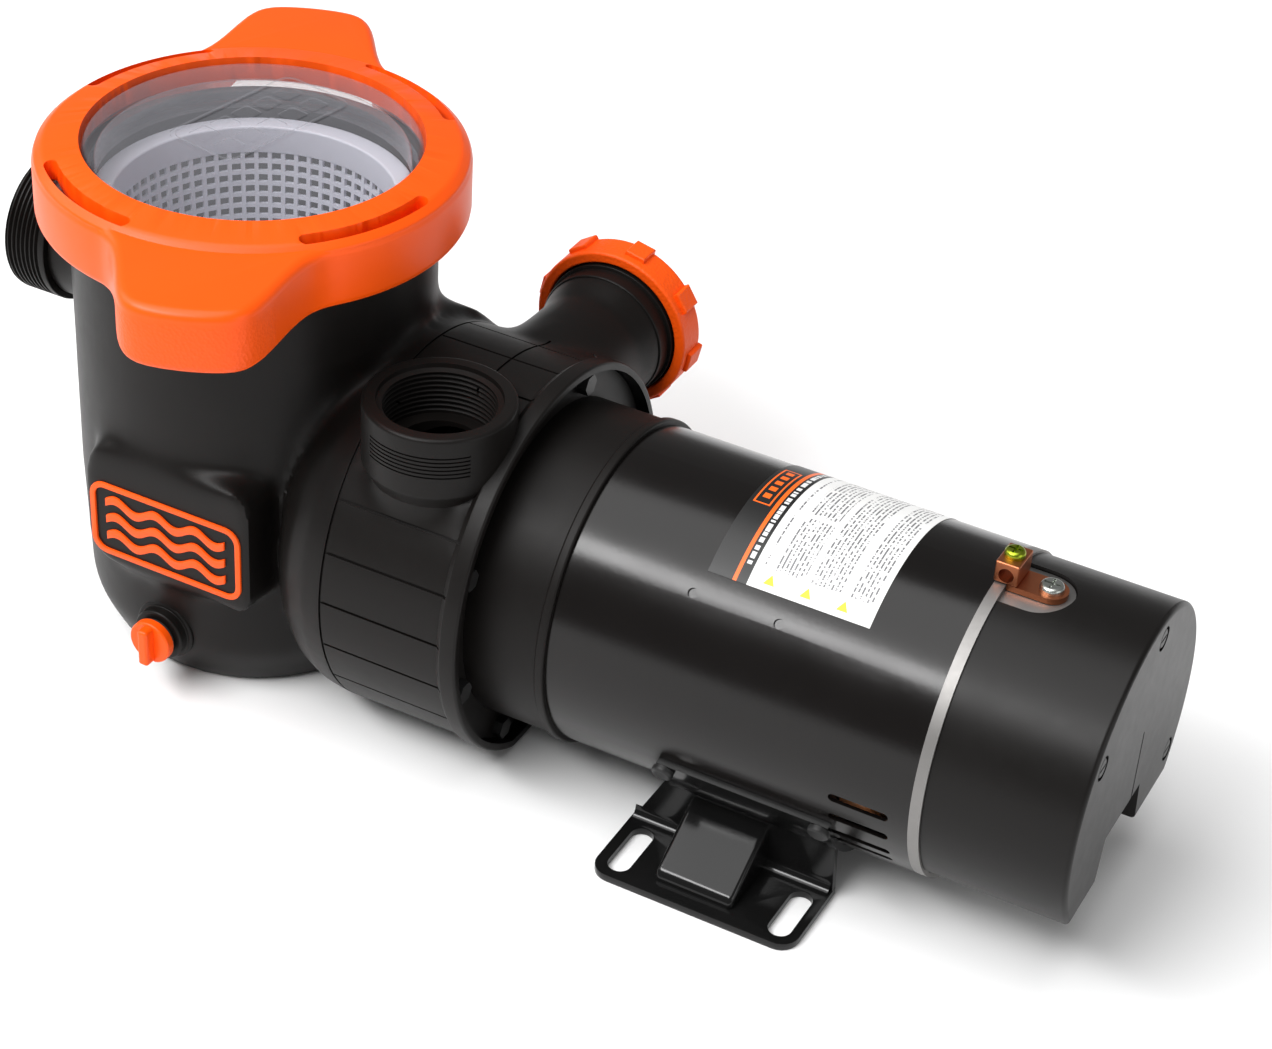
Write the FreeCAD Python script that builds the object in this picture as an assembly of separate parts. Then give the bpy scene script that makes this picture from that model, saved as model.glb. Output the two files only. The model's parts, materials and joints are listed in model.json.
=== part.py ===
import FreeCAD, Part
import math
import os

from FreeCAD import Placement, Rotation, Vector

# Pool pump: strainer pot and volute in one moulding, an open motor behind it, and a bent steel foot.
# Millimetres. +X runs from the suction port to the motor's rear cover, +Z is up, the floor is z = 0.
# The origin is midway between the two foot slots nearest the pump, on the floor under the shaft.

# ---- driving dimensions -------------------------------------------------------------------------
SHAFT_Z = 76.2           # shaft height of a 48-frame motor
POT_X = -217.3           # upright axis of the strainer pot
POT_R = 73.5             # outside of the pot
POT_TOP = 204.5          # top face of the pot's rim
POT_BORE = 66.5          # mouth of the pot, above the basket ledge
POT_INSIDE = 62.5        # inside of the pot, below the basket ledge
LEDGE_Z = 196.0          # ledge that the basket hangs on
DRUM_R = 81.0            # outside of the volute drum
DRUM_FRONT = -170.0      # hidden front end of the drum, inside the pot
RIM_X = -72.3            # open rear edge of the drum's shroud
RIM_R = 82.9             # outside of the lip on that edge
CHAMBER_R = 68.0         # water chamber around the impeller
CHAMBER_FRONT = -146.0
CHAMBER_BACK = -83.0     # face that the motor bracket seals against
FLANGE_BACK = -78.0      # rear face of the bracket's flange
SHROUD_R = 79.6          # bore of the open shroud behind the bracket flange
PORT_X = -106.3          # both discharge ports lie in this plane
PIPE_R = 30.15           # outside of a 2 inch pipe thread
SUCTION_END = -321.5
SUCTION_Z = 155.7
UPRIGHT_Y = -40.0
UPRIGHT_TOP = 163.3
UPRIGHT_BORE = 22.2      # inside of a 1.5 inch female pipe thread
UPRIGHT_DEPTH = 21.3     # from the mouth down to the end of that thread
REAR_PORT_Z = 122.0
REAR_PORT_END = 111.0
CAP_R = 35.3
RING_R = 86.3            # outside of the locking ring
WINDOW_R = 67.8          # hole in the locking ring over the clear lid
RING_TOP = 226.2
RING_BOTTOM = 194.0
LOBE_REACH = 129.0
LOBE_ANGLES = (-67.5, 112.5)
LUG_ANGLES = (-22.5, 67.5, 157.5, 247.5)   # pot lugs, seen through the ring's four curved slots
BRACKET_R = 66.9
BRACKET_SCREW_R = 73.8
BRACKET_SCREW_ANGLES = (-18.0, 66.0, 108.0, 150.0, -150.0, -112.0, -78.0)   # clear of both ports
SHELL_R = 66.2           # outside of the motor's steel shell
SHELL_WALL = 1.6
SHELL_FRONT = -42.4
SHELL_BACK = 111.6
BAND_BACK = 116.1        # rear edge of the aluminium band of the rear end bell
COVER_BACK = 174.35
COVER_R = 65.2
COVER_FLOOR = 37.0       # flat underside of the rear cover
COVER_WALL = 2.4
SLOT_PITCH = 69.85       # spacing of the foot's slots along the shaft
SLOT_Y = 65.7            # distance of the slots' centres from the shaft's plane
SLOT_HALF_WIDTH = 4.75
SLOT_LENGTH = 27.9
FOOT_HALF_WIDTH = 84.0
FOOT_FRONT = -9.4
FOOT_BACK = 78.6
FOOT_PLATE = 3.0
SHAFT_R = 8.0
STATOR_FRONT = 8.0
STATOR_BACK = 78.0
BOLT_RING = 59.5         # through bolts' distance from the shaft
COVER_SCREW_R = 56.0
COVER_SCREW_ANGLES = (-8.0, 55.0, -118.0)
LUG_SCREW_X = 131.6      # screw that holds the earthing lug
LUG_WIRE_X = 115.7       # its wire hole and clamp screw
DRAIN_Z = 27.0
DRAIN_FACE = -76.5       # outer face of the drain boss, as a place along Y
DRAIN_THREAD_R = 6.85

UP = Vector(0, 0, 1)
BACKWARD = Vector(1, 0, 0)   # towards the motor
FRONTWARD = Vector(-1, 0, 0)
AWAY = Vector(0, 1, 0)
NEAR = Vector(0, -1, 0)
POT = Vector(POT_X, 0, 0)
SHAFT = Vector(0, 0, SHAFT_Z)
HIDDEN = 0.5             # how far a cutting tool runs past the face that it cuts


# ---- small modelling steps ----------------------------------------------------------------------
def rounded_loop(corners, place):
    """Closed wire through corners (u, v, radius), each rounded by its radius; place maps u, v to a point."""
    ends = []
    for index, (u, v, radius) in enumerate(corners):
        point = place(u, v)
        before = place(*corners[index - 1][:2]) - point
        after = place(*corners[(index + 1) % len(corners)][:2]) - point
        if radius == 0:
            ends.append((point, None, point))
            continue
        before.normalize()
        after.normalize()
        half = before.getAngle(after) / 2
        middle = (before + after).normalize()
        reach = radius / math.tan(half)
        lowest = point + middle * (radius / math.sin(half) - radius)
        ends.append((point + before * reach, lowest, point + after * reach))
    edges = []
    for index, (enter, lowest, leave) in enumerate(ends):
        if lowest is not None:
            edges.append(Part.Arc(enter, lowest, leave).toShape())
        following = ends[(index + 1) % len(ends)][0]
        if leave.distanceToPoint(following) > 1e-6:
            edges.append(Part.LineSegment(leave, following).toShape())
    return Part.Wire(edges)


def turned(corners, base, direction, angle=360.0):
    """Solid turned about the line from base along direction; corners are (radius, height, rounding)."""
    face = Part.Face(rounded_loop(corners, lambda u, v: Vector(u, 0, v)))
    solid = face.revolve(Vector(0, 0, 0), UP, angle)
    solid.Placement = Placement(base, Rotation(UP, direction))
    return solid


def prism(corners, low, high):
    """Upright solid of a plan outline (x, y, rounding) between two heights."""
    face = Part.Face(rounded_loop(corners, lambda u, v: Vector(u, v, low)))
    return face.extrude(Vector(0, 0, high - low))


def prism_along_shaft(corners, front, back):
    """Solid of a cross-section (y, z, rounding) between two places along X."""
    face = Part.Face(rounded_loop(corners, lambda u, v: Vector(front, u, v)))
    return face.extrude(Vector(back - front, 0, 0))


def rod(radius, start, end):
    span = end - start
    return Part.makeCylinder(radius, span.Length, start, span)


def shaft_rod(radius, front, back, y=0.0, z=SHAFT_Z):
    return rod(radius, Vector(front, y, z), Vector(back, y, z))


def shaft_sleeve(outer, inner, front, back):
    return shaft_rod(outer, front, back).cut(shaft_rod(inner, front - HIDDEN, back + HIDDEN))


def block(x, y, z):
    """Box from three (low, high) pairs."""
    corner = Vector(x[0], y[0], z[0])
    return Part.makeBox(x[1] - x[0], y[1] - y[0], z[1] - z[0], corner)


def ring_of(minor, major, centre, direction):
    return Part.makeTorus(major, minor, centre, direction)


def band(inner, outer, front, back, first, span):
    """Part of a tube about the shaft. Angles are degrees from the top, positive towards the near side."""
    face = Part.Face(Part.makePolygon([
        Vector(front, 0, inner), Vector(back, 0, inner), Vector(back, 0, outer),
        Vector(front, 0, outer), Vector(front, 0, inner)]))
    solid = face.revolve(Vector(0, 0, 0), BACKWARD, span)
    solid.rotate(Vector(0, 0, 0), BACKWARD, first)
    solid.translate(SHAFT)
    return solid


def around_shaft(angle, radius, x=0.0):
    """Point at an angle from the top, positive towards the near side."""
    turn = math.radians(angle)
    return Vector(x, -radius * math.sin(turn), SHAFT_Z + radius * math.cos(turn))


def around_pot(angle, radius, z):
    turn = math.radians(angle)
    return Vector(POT_X + radius * math.cos(turn), radius * math.sin(turn), z)


def pot_arc(inner, outer, low, high, middle, span):
    """Part of a tube about the pot's axis, centred on an angle from +X."""
    face = Part.Face(Part.makePolygon([
        Vector(inner, 0, low), Vector(outer, 0, low), Vector(outer, 0, high),
        Vector(inner, 0, high), Vector(inner, 0, low)]))
    solid = face.revolve(Vector(0, 0, 0), UP, span)
    solid.rotate(Vector(0, 0, 0), UP, middle - span / 2)
    solid.translate(POT)
    return solid


def spaced(count, first=0.0):
    return [first + 360.0 * index / count for index in range(count)]


def group(solids):
    return Part.makeCompound(solids)


def edges_between(shape, low, high, kind=None):
    """Edges whose middle lies in the box from low to high."""
    chosen = []
    for edge in shape.Edges:
        middle = edge.valueAt((edge.FirstParameter + edge.LastParameter) / 2)
        inside = all(low[axis] <= middle[axis] <= high[axis] for axis in range(3))
        if inside and (kind is None or edge.Curve.TypeId == kind):
            chosen.append(edge)
    return chosen


# ---- strainer pot and volute --------------------------------------------------------------------
LUG_LOW = 198.0
LUG_HIGH = 203.4
LUG_R = 80.0
LUG_SPAN = 43.0
SUCTION_THREAD = 20.0
SUCTION_NECK_R = 27.5
SUCTION_BORE = 22.0
EYE_R = 20.0
EYE_END = -119.5
PAD_LEFT = -251.0
PAD_RIGHT = -171.0
PAD_LOW = 53.5
PAD_HIGH = 113.0
PAD_FACE = -77.0
GROOVE = 1.0
GROOVE_DEPTH = 0.8
PANEL_FRONT = -135.5
PANEL_STEP = 15.5
FLOOR_CUT = 1.0          # the drum's underside is cut flat this high above the floor
SHROUD_FLOOR = 4.0       # flat floor inside the shroud


def pot_outside():
    profile = [(0, 0, 0), (61, 0, 1), (61, 4, 1), (63.5, 5, 2), (71.5, 22, 12), (POT_R, 80, 60),
               (POT_R, POT_TOP, 1.0), (0, POT_TOP, 0)]
    return turned(profile, POT, UP)


def drum_outside():
    base = Vector(DRUM_FRONT, 0, SHAFT_Z)
    length = RIM_X - DRUM_FRONT
    profile = [(0, 0, 0), (DRUM_R, 0, 34), (DRUM_R, length - 5, 2), (RIM_R, length - 3.5, 1),
               (RIM_R, length, 0.8), (0, length, 0)]
    drum = turned(profile, base, BACKWARD)
    below = block((DRUM_FRONT - 1, RIM_X + 1), (-100, 100), (-100, FLOOR_CUT))
    return drum.cut(below)


def suction_port_outside():
    base = Vector(POT_X, 0, SUCTION_Z)
    length = POT_X - SUCTION_END
    profile = [(0, 0, 0), (SUCTION_NECK_R, 0, 0), (SUCTION_NECK_R, length - SUCTION_THREAD, 1),
               (PIPE_R, length - SUCTION_THREAD, 0.6), (PIPE_R, length, 1.2), (0, length, 0)]
    return turned(profile, base, FRONTWARD)


def upright_port_outside():
    base = Vector(PORT_X, UPRIGHT_Y, 100)
    top = UPRIGHT_TOP - 100
    profile = [(0, 0, 0), (26.5, 0, 0), (27.5, 27, 6), (PIPE_R, 36, 6), (PIPE_R, top, 2), (0, top, 0)]
    return turned(profile, base, UP)


def rear_port_outside():
    base = Vector(PORT_X, 40, REAR_PORT_Z)
    end = REAR_PORT_END - 40
    profile = [(0, 0, 0), (27, 0, 0), (25, 40, 12), (27.8, 52, 6), (27.8, 59, 1), (29.8, 59.5, 0.4),
               (29.8, end, 1), (0, end, 0)]
    return turned(profile, base, AWAY)


def badge_pad():
    corners = [(PAD_LEFT, PAD_LOW, 14), (PAD_RIGHT, PAD_LOW, 9), (PAD_RIGHT, PAD_HIGH, 9),
               (PAD_LEFT, PAD_HIGH, 14)]
    face = Part.Face(rounded_loop(corners, lambda u, v: Vector(u, PAD_FACE, v)))
    pad = face.extrude(Vector(0, 40, 0))
    return pad.makeFillet(1.5, edges_between(pad, (-300, PAD_FACE - 1, 0), (0, PAD_FACE + 1, 200)))


def drain_boss():
    base = Vector(POT_X, -60, DRAIN_Z)
    length = -60 - DRAIN_FACE
    profile = [(0, 0, 0), (13.5, 0, 0), (13.5, length - 4, 1), (11.5, length - 4, 0.5),
               (11.5, length, 1), (0, length, 0)]
    return turned(profile, base, NEAR)


def pot_lugs():
    return [pot_arc(POT_R - 2, LUG_R, LUG_LOW, LUG_HIGH, angle, LUG_SPAN) for angle in LUG_ANGLES]


def waterways():
    """Every hollow inside the moulding."""
    pot_low = 8.0
    pot_hollow = turned([(0, pot_low, 0), (POT_INSIDE, pot_low, 10), (POT_INSIDE, LEDGE_Z, 0),
                         (POT_BORE, LEDGE_Z, 0), (POT_BORE, POT_TOP + 1, 0), (0, POT_TOP + 1, 0)],
                        POT, UP)
    eye = shaft_rod(EYE_R, POT_X, CHAMBER_FRONT + 1)
    chamber = shaft_rod(CHAMBER_R, CHAMBER_FRONT, CHAMBER_BACK + 1)
    above_floor = block((CHAMBER_BACK, RIM_X + 1), (-100, 100), (SHROUD_FLOOR, 200))
    shroud = shaft_rod(SHROUD_R, CHAMBER_BACK, RIM_X + 1).common(above_floor)
    suction = rod(SUCTION_BORE, Vector(POT_X, 0, SUCTION_Z), Vector(SUCTION_END - 1, 0, SUCTION_Z))
    mouth = Vector(PORT_X, UPRIGHT_Y, UPRIGHT_TOP)
    upright = [rod(UPRIGHT_BORE, mouth - UP * UPRIGHT_DEPTH, mouth + UP),
               rod(UPRIGHT_BORE + 2.2, mouth - UP * 2.5, mouth + UP),
               rod(16.5, mouth - UP * 60, mouth)]
    rear = rod(20.0, Vector(PORT_X, 10, REAR_PORT_Z), Vector(PORT_X, REAR_PORT_END + 1, REAR_PORT_Z))
    drain = rod(DRAIN_THREAD_R + 0.15, Vector(POT_X, -50, DRAIN_Z), Vector(POT_X, -90, DRAIN_Z))
    return [pot_hollow, eye, chamber, shroud, suction, rear, drain] + upright


def eye_tube():
    return shaft_sleeve(EYE_R + 4, EYE_R, CHAMBER_FRONT - 1, EYE_END)


def screw_holes():
    return [rod(2.5, around_shaft(angle, BRACKET_SCREW_R, CHAMBER_BACK - 14),
                around_shaft(angle, BRACKET_SCREW_R, CHAMBER_BACK + 1))
            for angle in BRACKET_SCREW_ANGLES]


def panel_lines():
    """Fine grooves that divide the drum into panels."""
    along = []
    for index in range(-2, 9):
        angle = -6.0 + PANEL_STEP * index
        half = math.degrees(GROOVE / 2 / DRUM_R)
        along.append(band(DRUM_R - GROOVE_DEPTH, DRUM_R + 1, PANEL_FRONT, RIM_X - 6,
                          angle - half, 2 * half))
    front = band(DRUM_R - GROOVE_DEPTH, DRUM_R + 1, PANEL_FRONT, PANEL_FRONT + GROOVE, -60, 195)
    second = band(DRUM_R - GROOVE_DEPTH, DRUM_R + 1, -103.0, -103.0 + GROOVE, -50, 50)
    return along + [front, second]


def pump_body():
    trunk = pot_outside().fuse(drum_outside())
    outside = trunk.multiFuse([suction_port_outside(), upright_port_outside(), rear_port_outside(),
                               badge_pad(), drain_boss()] + pot_lugs())
    hollow = outside.cut(waterways())
    hollow = hollow.fuse(eye_tube())
    return hollow.cut(screw_holes() + panel_lines()).removeSplitter()


# ---- lid, ring, basket --------------------------------------------------------------------------
RING_SLOT_R = 80.0
RING_SLOT_HALF = 2.6
RING_SLOT_SPAN = 38.0


def lobe(angle):
    """Grip lobe of the locking ring, as a plan outline turned to its angle."""
    root = 60.0
    corners = [(root, -36, 0), (100, -33.5, 12), (LOBE_REACH - 3, -22, 10), (LOBE_REACH, 0, 60),
               (LOBE_REACH - 3, 22, 10), (100, 33.5, 12), (root, 36, 0)]
    solid = prism(corners, RING_BOTTOM, 219.5)
    solid.rotate(Vector(0, 0, 0), UP, angle)
    solid.translate(POT)
    return solid


def ring_plan():
    """Ring and lobes as one upright solid, with soft inner corners where they meet."""
    disc = rod(RING_R, POT + UP * RING_BOTTOM, POT + UP * 219.5)
    plan = disc.multiFuse([lobe(angle) for angle in LOBE_ANGLES]).removeSplitter()
    corners = []
    for edge in plan.Edges:
        middle = edge.valueAt((edge.FirstParameter + edge.LastParameter) / 2)
        reach = math.hypot(middle.x - POT_X, middle.y)
        upright = edge.Curve.TypeId == "Part::GeomLine" and abs(edge.tangentAt(edge.FirstParameter).z) > 0.9
        if upright and abs(reach - RING_R) < 0.5:
            corners.append(edge)
    return plan.makeFillet(14.0, corners)


def lid_ring():
    plan = ring_plan()
    top = edges_between(plan, (-400, -200, 219.4), (0, 200, 219.6))
    plan = plan.makeFillet(3.5, top)
    crown = turned([(WINDOW_R - 1, 215, 0), (84.0, 215, 0), (84.0, 219.5, 0), (81.0, 221.3, 3),
                    (WINDOW_R - 1, RING_TOP, 0)], POT, UP)
    ring = plan.fuse(crown)
    window = rod(WINDOW_R, POT + UP * 190, POT + UP * 230)
    inside = rod(81.0, POT + UP * 190, POT + UP * 214.6)
    ring = ring.cut([window, inside] + ring_slots() + lobe_hollows())
    rim = edges_between(ring, (POT_X - WINDOW_R - 1, -WINDOW_R - 1, RING_TOP - 1.5),
                        (POT_X + WINDOW_R + 1, WINDOW_R + 1, RING_TOP + 0.5), "Part::GeomCircle")
    return ring.makeFillet(1.2, rim)


def ring_slots():
    """Curved slots in the ring's top, each over a pair of the pot's lugs."""
    slots = []
    for angle in LUG_ANGLES:
        slots.append(pot_arc(RING_SLOT_R - RING_SLOT_HALF, RING_SLOT_R + RING_SLOT_HALF, 210, 230,
                             angle, RING_SLOT_SPAN))
        for side in (-RING_SLOT_SPAN / 2, RING_SLOT_SPAN / 2):
            end = around_pot(angle + side, RING_SLOT_R, 210)
            slots.append(rod(RING_SLOT_HALF, end, end + UP * 20))
    return slots


def lobe_hollows():
    """The lobes are hollow from below."""
    hollows = []
    for angle in LOBE_ANGLES:
        corners = [(90, -27, 4), (104, -26, 6), (LOBE_REACH - 6, -17, 7), (LOBE_REACH - 6, 17, 7),
                   (104, 26, 6), (90, 27, 4)]
        solid = prism(corners, RING_BOTTOM - 1, 214.0)
        solid.rotate(Vector(0, 0, 0), UP, angle)
        solid.translate(POT)
        hollows.append(solid)
    return hollows


def clear_lid():
    """Clear lid: a shallow dome in the ring's window, on a flange that the ring holds down."""
    profile = [(0, 224.0, 0), (50, 223.2, 40), (66.8, 221.0, 2.5), (66.8, 214.4, 0.6),
               (78.6, 214.4, 0.6), (78.6, 210.4, 0.6), (66.0, 210.4, 0), (66.0, 204.6, 0.6),
               (62.5, 204.6, 0.6), (62.5, 215.6, 3), (50, 219.0, 20), (0, 219.8, 0)]
    return turned(profile, POT, UP)


def lid_seal():
    return ring_of(2.7, 70.2, POT + UP * 207.6, UP)


BASKET_BOTTOM = 45.0
BASKET_TOP = 199.0


def strainer_basket():
    profile = [(0, BASKET_BOTTOM, 0), (50, BASKET_BOTTOM, 5), (58.8, 190, 0), (58.8, LEDGE_Z, 0),
               (65.0, LEDGE_Z, 0), (65.0, BASKET_TOP, 0.8), (56.4, BASKET_TOP, 1),
               (48.0, BASKET_BOTTOM + 2.4, 4), (0, BASKET_BOTTOM + 2.4, 0)]
    return turned(profile, POT, UP)


# ---- drain plug and discharge cap ---------------------------------------------------------------
def drain_plug():
    base = Vector(POT_X, DRAIN_FACE, DRAIN_Z)
    turned_part = turned([(0, -12, 0), (DRAIN_THREAD_R, -12, 1), (DRAIN_THREAD_R, 1.9, 0),
                          (9.6, 1.9, 0.8), (9.6, 6.2, 1), (0, 6.2, 0)], base, NEAR)
    front = DRAIN_FACE - 6.2
    wing = block((POT_X - 2.4, POT_X + 2.4), (front - 5.0, front + 1), (DRAIN_Z - 8.6, DRAIN_Z + 8.6))
    wing = wing.makeFillet(1.4, edges_between(wing, (-400, front - 6, 0), (0, front - 0.5, 100)))
    notch = rod(3.2, Vector(POT_X, front + 2.2, DRAIN_Z - 11.2), Vector(POT_X, front - 2, DRAIN_Z - 11.2))
    plug = turned_part.fuse(wing)
    return plug.cut(notch)


def drain_plug_seal():
    return ring_of(0.75, 8.0, Vector(POT_X, DRAIN_FACE - 1.1, DRAIN_Z), AWAY)


CAP_START = 100.3
CAP_END = 115.6
CAP_PLATE = 3.0


def discharge_cap():
    base = Vector(PORT_X, CAP_START, REAR_PORT_Z)
    depth = CAP_END - CAP_START
    profile = [(30.6, 0, 0.8), (CAP_R, 0, 1.2), (CAP_R, depth, 2.0), (0, depth, 0),
               (0, depth - CAP_PLATE, 0), (30.6, depth - CAP_PLATE, 1)]
    cap = turned(profile, base, AWAY)
    ribs = []
    for angle in spaced(8, 12):
        rib = block((-4.5, 4.5), (CAP_START + 4, CAP_END - 0.6), (CAP_R - 2, CAP_R + 1.8))
        rib = rib.makeFillet(0.8, edges_between(rib, (-6, 0, CAP_R + 1), (6, 200, CAP_R + 3)))
        rib.rotate(Vector(0, 0, 0), AWAY, angle)
        rib.translate(Vector(PORT_X, 0, REAR_PORT_Z))
        ribs.append(rib)
    return cap.multiFuse(ribs).removeSplitter()


def cap_gasket():
    start = Vector(PORT_X, REAR_PORT_END + 0.1, REAR_PORT_Z)
    end = Vector(PORT_X, CAP_END - CAP_PLATE - 0.1, REAR_PORT_Z)
    return rod(29.2, start, end).cut(rod(21.0, start, end))


# ---- motor bracket, seal and impeller -----------------------------------------------------------
HUB_LENGTH = 12.0
SEAT_POCKET = 8.0        # depth of the hub's pocket for the seal seat
SEAT_R = 13.5


def motor_bracket():
    above_floor = block((CHAMBER_BACK, FLANGE_BACK), (-100, 100), (SHROUD_FLOOR + 0.4, 200))
    flange = shaft_rod(SHROUD_R - 0.4, CHAMBER_BACK, FLANGE_BACK).common(above_floor)
    spigot = shaft_sleeve(64.6, 58.0, CHAMBER_BACK - 5, CHAMBER_BACK)
    barrel = turned([(62.6, 0, 0), (BRACKET_R, 0, 0), (BRACKET_R, SHELL_FRONT - FLANGE_BACK, 1.2),
                     (62.6, SHELL_FRONT - FLANGE_BACK, 0)], Vector(FLANGE_BACK, 0, SHAFT_Z), BACKWARD)
    hub = shaft_rod(18.0, CHAMBER_BACK, CHAMBER_BACK + HUB_LENGTH)
    posts = [rod(5.2, around_shaft(angle, BOLT_RING, FLANGE_BACK),
                 around_shaft(angle, BOLT_RING, SHELL_FRONT)) for angle in spaced(4, 45)]
    solid = flange.multiFuse([spigot, barrel, hub] + posts)
    holes = [shaft_rod(SEAT_R, CHAMBER_BACK - 1, CHAMBER_BACK + SEAT_POCKET),
             shaft_rod(SHAFT_R + 1.2, CHAMBER_BACK, CHAMBER_BACK + HUB_LENGTH + 1)]
    holes += [rod(2.8, around_shaft(angle, BRACKET_SCREW_R, CHAMBER_BACK - 1),
                  around_shaft(angle, BRACKET_SCREW_R, FLANGE_BACK + 1))
              for angle in BRACKET_SCREW_ANGLES]
    holes += [rod(2.2, around_shaft(angle, BOLT_RING, -58.0),
                  around_shaft(angle, BOLT_RING, SHELL_FRONT + 1)) for angle in spaced(4, 45)]
    return solid.cut(holes).removeSplitter()


def volute_seal():
    return ring_of(1.6, 66.3, Vector(CHAMBER_BACK - 1.7, 0, SHAFT_Z), BACKWARD)


def hex_screw(angle, distance, seat, length, shank, across, head):
    """Screw whose head sits on the face at seat and points to the rear."""
    start = around_shaft(angle, distance, seat)
    corner = across / 2 / math.cos(math.radians(30))
    points = [start + Vector(0, corner * math.cos(math.radians(60 * side)),
                             corner * math.sin(math.radians(60 * side))) for side in range(7)]
    top = Part.Face(Part.makePolygon(points)).extrude(BACKWARD * head)
    return rod(shank, start - BACKWARD * length, start).fuse(top)


def bracket_screws():
    return group([hex_screw(angle, BRACKET_SCREW_R, FLANGE_BACK, 18, 2.4, 8, 4)
                  for angle in BRACKET_SCREW_ANGLES])


IMPELLER_R = 55.0
IMPELLER_FRONT = -118.0
VANE_FRONT = -116.0
VANE_BACK = -110.0
HUB_BACK = -99.0
SHAFT_TIP_R = 6.0
SEAL_HEAD_FRONT = CHAMBER_BACK - 5.0
SPRING_WIRE = 1.0        # side of its square wire
SPRING_R = 9.9


def vane(angle):
    """Backward-curved vane as a slice of a thin upright tube."""
    outer = shaft_sleeve(46.0, 44.2, VANE_FRONT - 0.2, VANE_BACK + 0.2)
    outer.translate(Vector(0, 30.0, 12.0))
    keep = shaft_sleeve(IMPELLER_R - 0.5, 19.0, VANE_FRONT - 0.2, VANE_BACK + 0.2)
    half = block((VANE_FRONT - 1, VANE_BACK + 1), (-80, 30), (SHAFT_Z - 20, SHAFT_Z + 80))
    piece = outer.common(keep).common(half)
    piece.rotate(SHAFT, BACKWARD, angle)
    return piece


def impeller():
    front = shaft_sleeve(IMPELLER_R, EYE_R, IMPELLER_FRONT, VANE_FRONT)
    back = shaft_rod(IMPELLER_R, VANE_BACK, VANE_BACK + 3)
    hub = turned([(0, 0, 0), (8, 0, 3), (12, 8, 3), (12, HUB_BACK - VANE_FRONT, 0),
                  (0, HUB_BACK - VANE_FRONT, 0)], Vector(VANE_FRONT, 0, SHAFT_Z), BACKWARD)
    wheel = front.multiFuse([back, hub] + [vane(angle) for angle in spaced(6)])
    return wheel.cut(shaft_rod(SHAFT_TIP_R, -112, HUB_BACK + 1)).removeSplitter()


def seal_spring():
    """Coil of three turns of square wire between the impeller's hub and the seal head."""
    start = HUB_BACK + SPRING_WIRE + 0.1
    length = SEAL_HEAD_FRONT - HUB_BACK - 2 * (SPRING_WIRE + 0.1)
    low = SPRING_R - SPRING_WIRE / 2
    high = SPRING_R + SPRING_WIRE / 2
    section = Part.makePolygon([
        Vector(low, 0, 0), Vector(high, 0, 0), Vector(high, 0, SPRING_WIRE), Vector(low, 0, SPRING_WIRE),
        Vector(low, 0, 0)])
    helix = Part.makeHelix(length / 3, length, SPRING_R)
    coil = Part.Wire(helix.Edges).makePipeShell([section], True, True)
    coil.Placement = Placement(Vector(start, 0, SHAFT_Z), Rotation(UP, BACKWARD))
    return Part.Solid(coil.Shells[0])


def seal_head():
    profile = [(SHAFT_R, 0, 0), (12.0, 0, 0.6), (12.0, 2.6, 0.4), (11.0, 3.4, 0), (11.0, 4.6, 0),
               (SHAFT_R, 4.6, 0)]
    return turned(profile, Vector(SEAL_HEAD_FRONT, 0, SHAFT_Z), BACKWARD)


def seal_seat():
    return shaft_sleeve(SEAT_R, SHAFT_R + 0.6, CHAMBER_BACK - 0.2, CHAMBER_BACK + SEAT_POCKET)


def slinger():
    profile = [(SHAFT_R, 0, 0), (17, 1.6, 0.5), (17, 3, 0.5), (10, 4.5, 1), (SHAFT_R, 4.5, 0)]
    return turned(profile, Vector(-64.0, 0, SHAFT_Z), BACKWARD)


# ---- motor --------------------------------------------------------------------------------------
FRONT_BEARING = (-40.0, -28.0, 20.0, 8.5)     # front, back, outer radius, bore radius
REAR_BEARING = (98.0, 108.0, 16.0, 6.0)
CORE_SHAFT_R = 10.0
VENT_ANGLES = (98.5, 108.5, 119.0, 126.0)
VENT_FRONT = 79.1
VENT_BACK = 103.6
VENT_HALF = 2.0


def rotor_shaft():
    pieces = [(SHAFT_TIP_R, -112.0, HUB_BACK), (SHAFT_R, HUB_BACK, -41.0),
              (FRONT_BEARING[3], -41.0, -27.0), (CORE_SHAFT_R, -27.0, 92.0),
              (REAR_BEARING[3], 92.0, 128.0)]
    first = shaft_rod(*pieces[0])
    return first.multiFuse([shaft_rod(*piece) for piece in pieces[1:]]).removeSplitter()


def vent_slots():
    slots = []
    for side in (1, -1):
        for angle in VENT_ANGLES:
            half = math.degrees(VENT_HALF / SHELL_R)
            slots.append(band(SHELL_R - 4, SHELL_R + 2, VENT_FRONT + VENT_HALF, VENT_BACK - VENT_HALF,
                              side * angle - half, 2 * half))
            for x in (VENT_FRONT + VENT_HALF, VENT_BACK - VENT_HALF):
                slots.append(rod(VENT_HALF, around_shaft(side * angle, SHELL_R - 4, x),
                                 around_shaft(side * angle, SHELL_R + 2, x)))
    return slots


def motor_shell():
    tube = shaft_sleeve(SHELL_R, SHELL_R - SHELL_WALL, SHELL_FRONT + 1, SHELL_BACK)
    spots = [rod(2.0, around_shaft(46.5, SHELL_R - 0.9, x), around_shaft(46.5, SHELL_R + 2, x))
             for x in (9.4, 45.2)]
    return tube.cut(vent_slots() + spots)


def bearing_rings(place):
    front, back, outer, bore = place
    wall = (outer - bore) * 0.27
    return (shaft_sleeve(outer, outer - wall, front, back), shaft_sleeve(bore + wall, bore, front, back))


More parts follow.
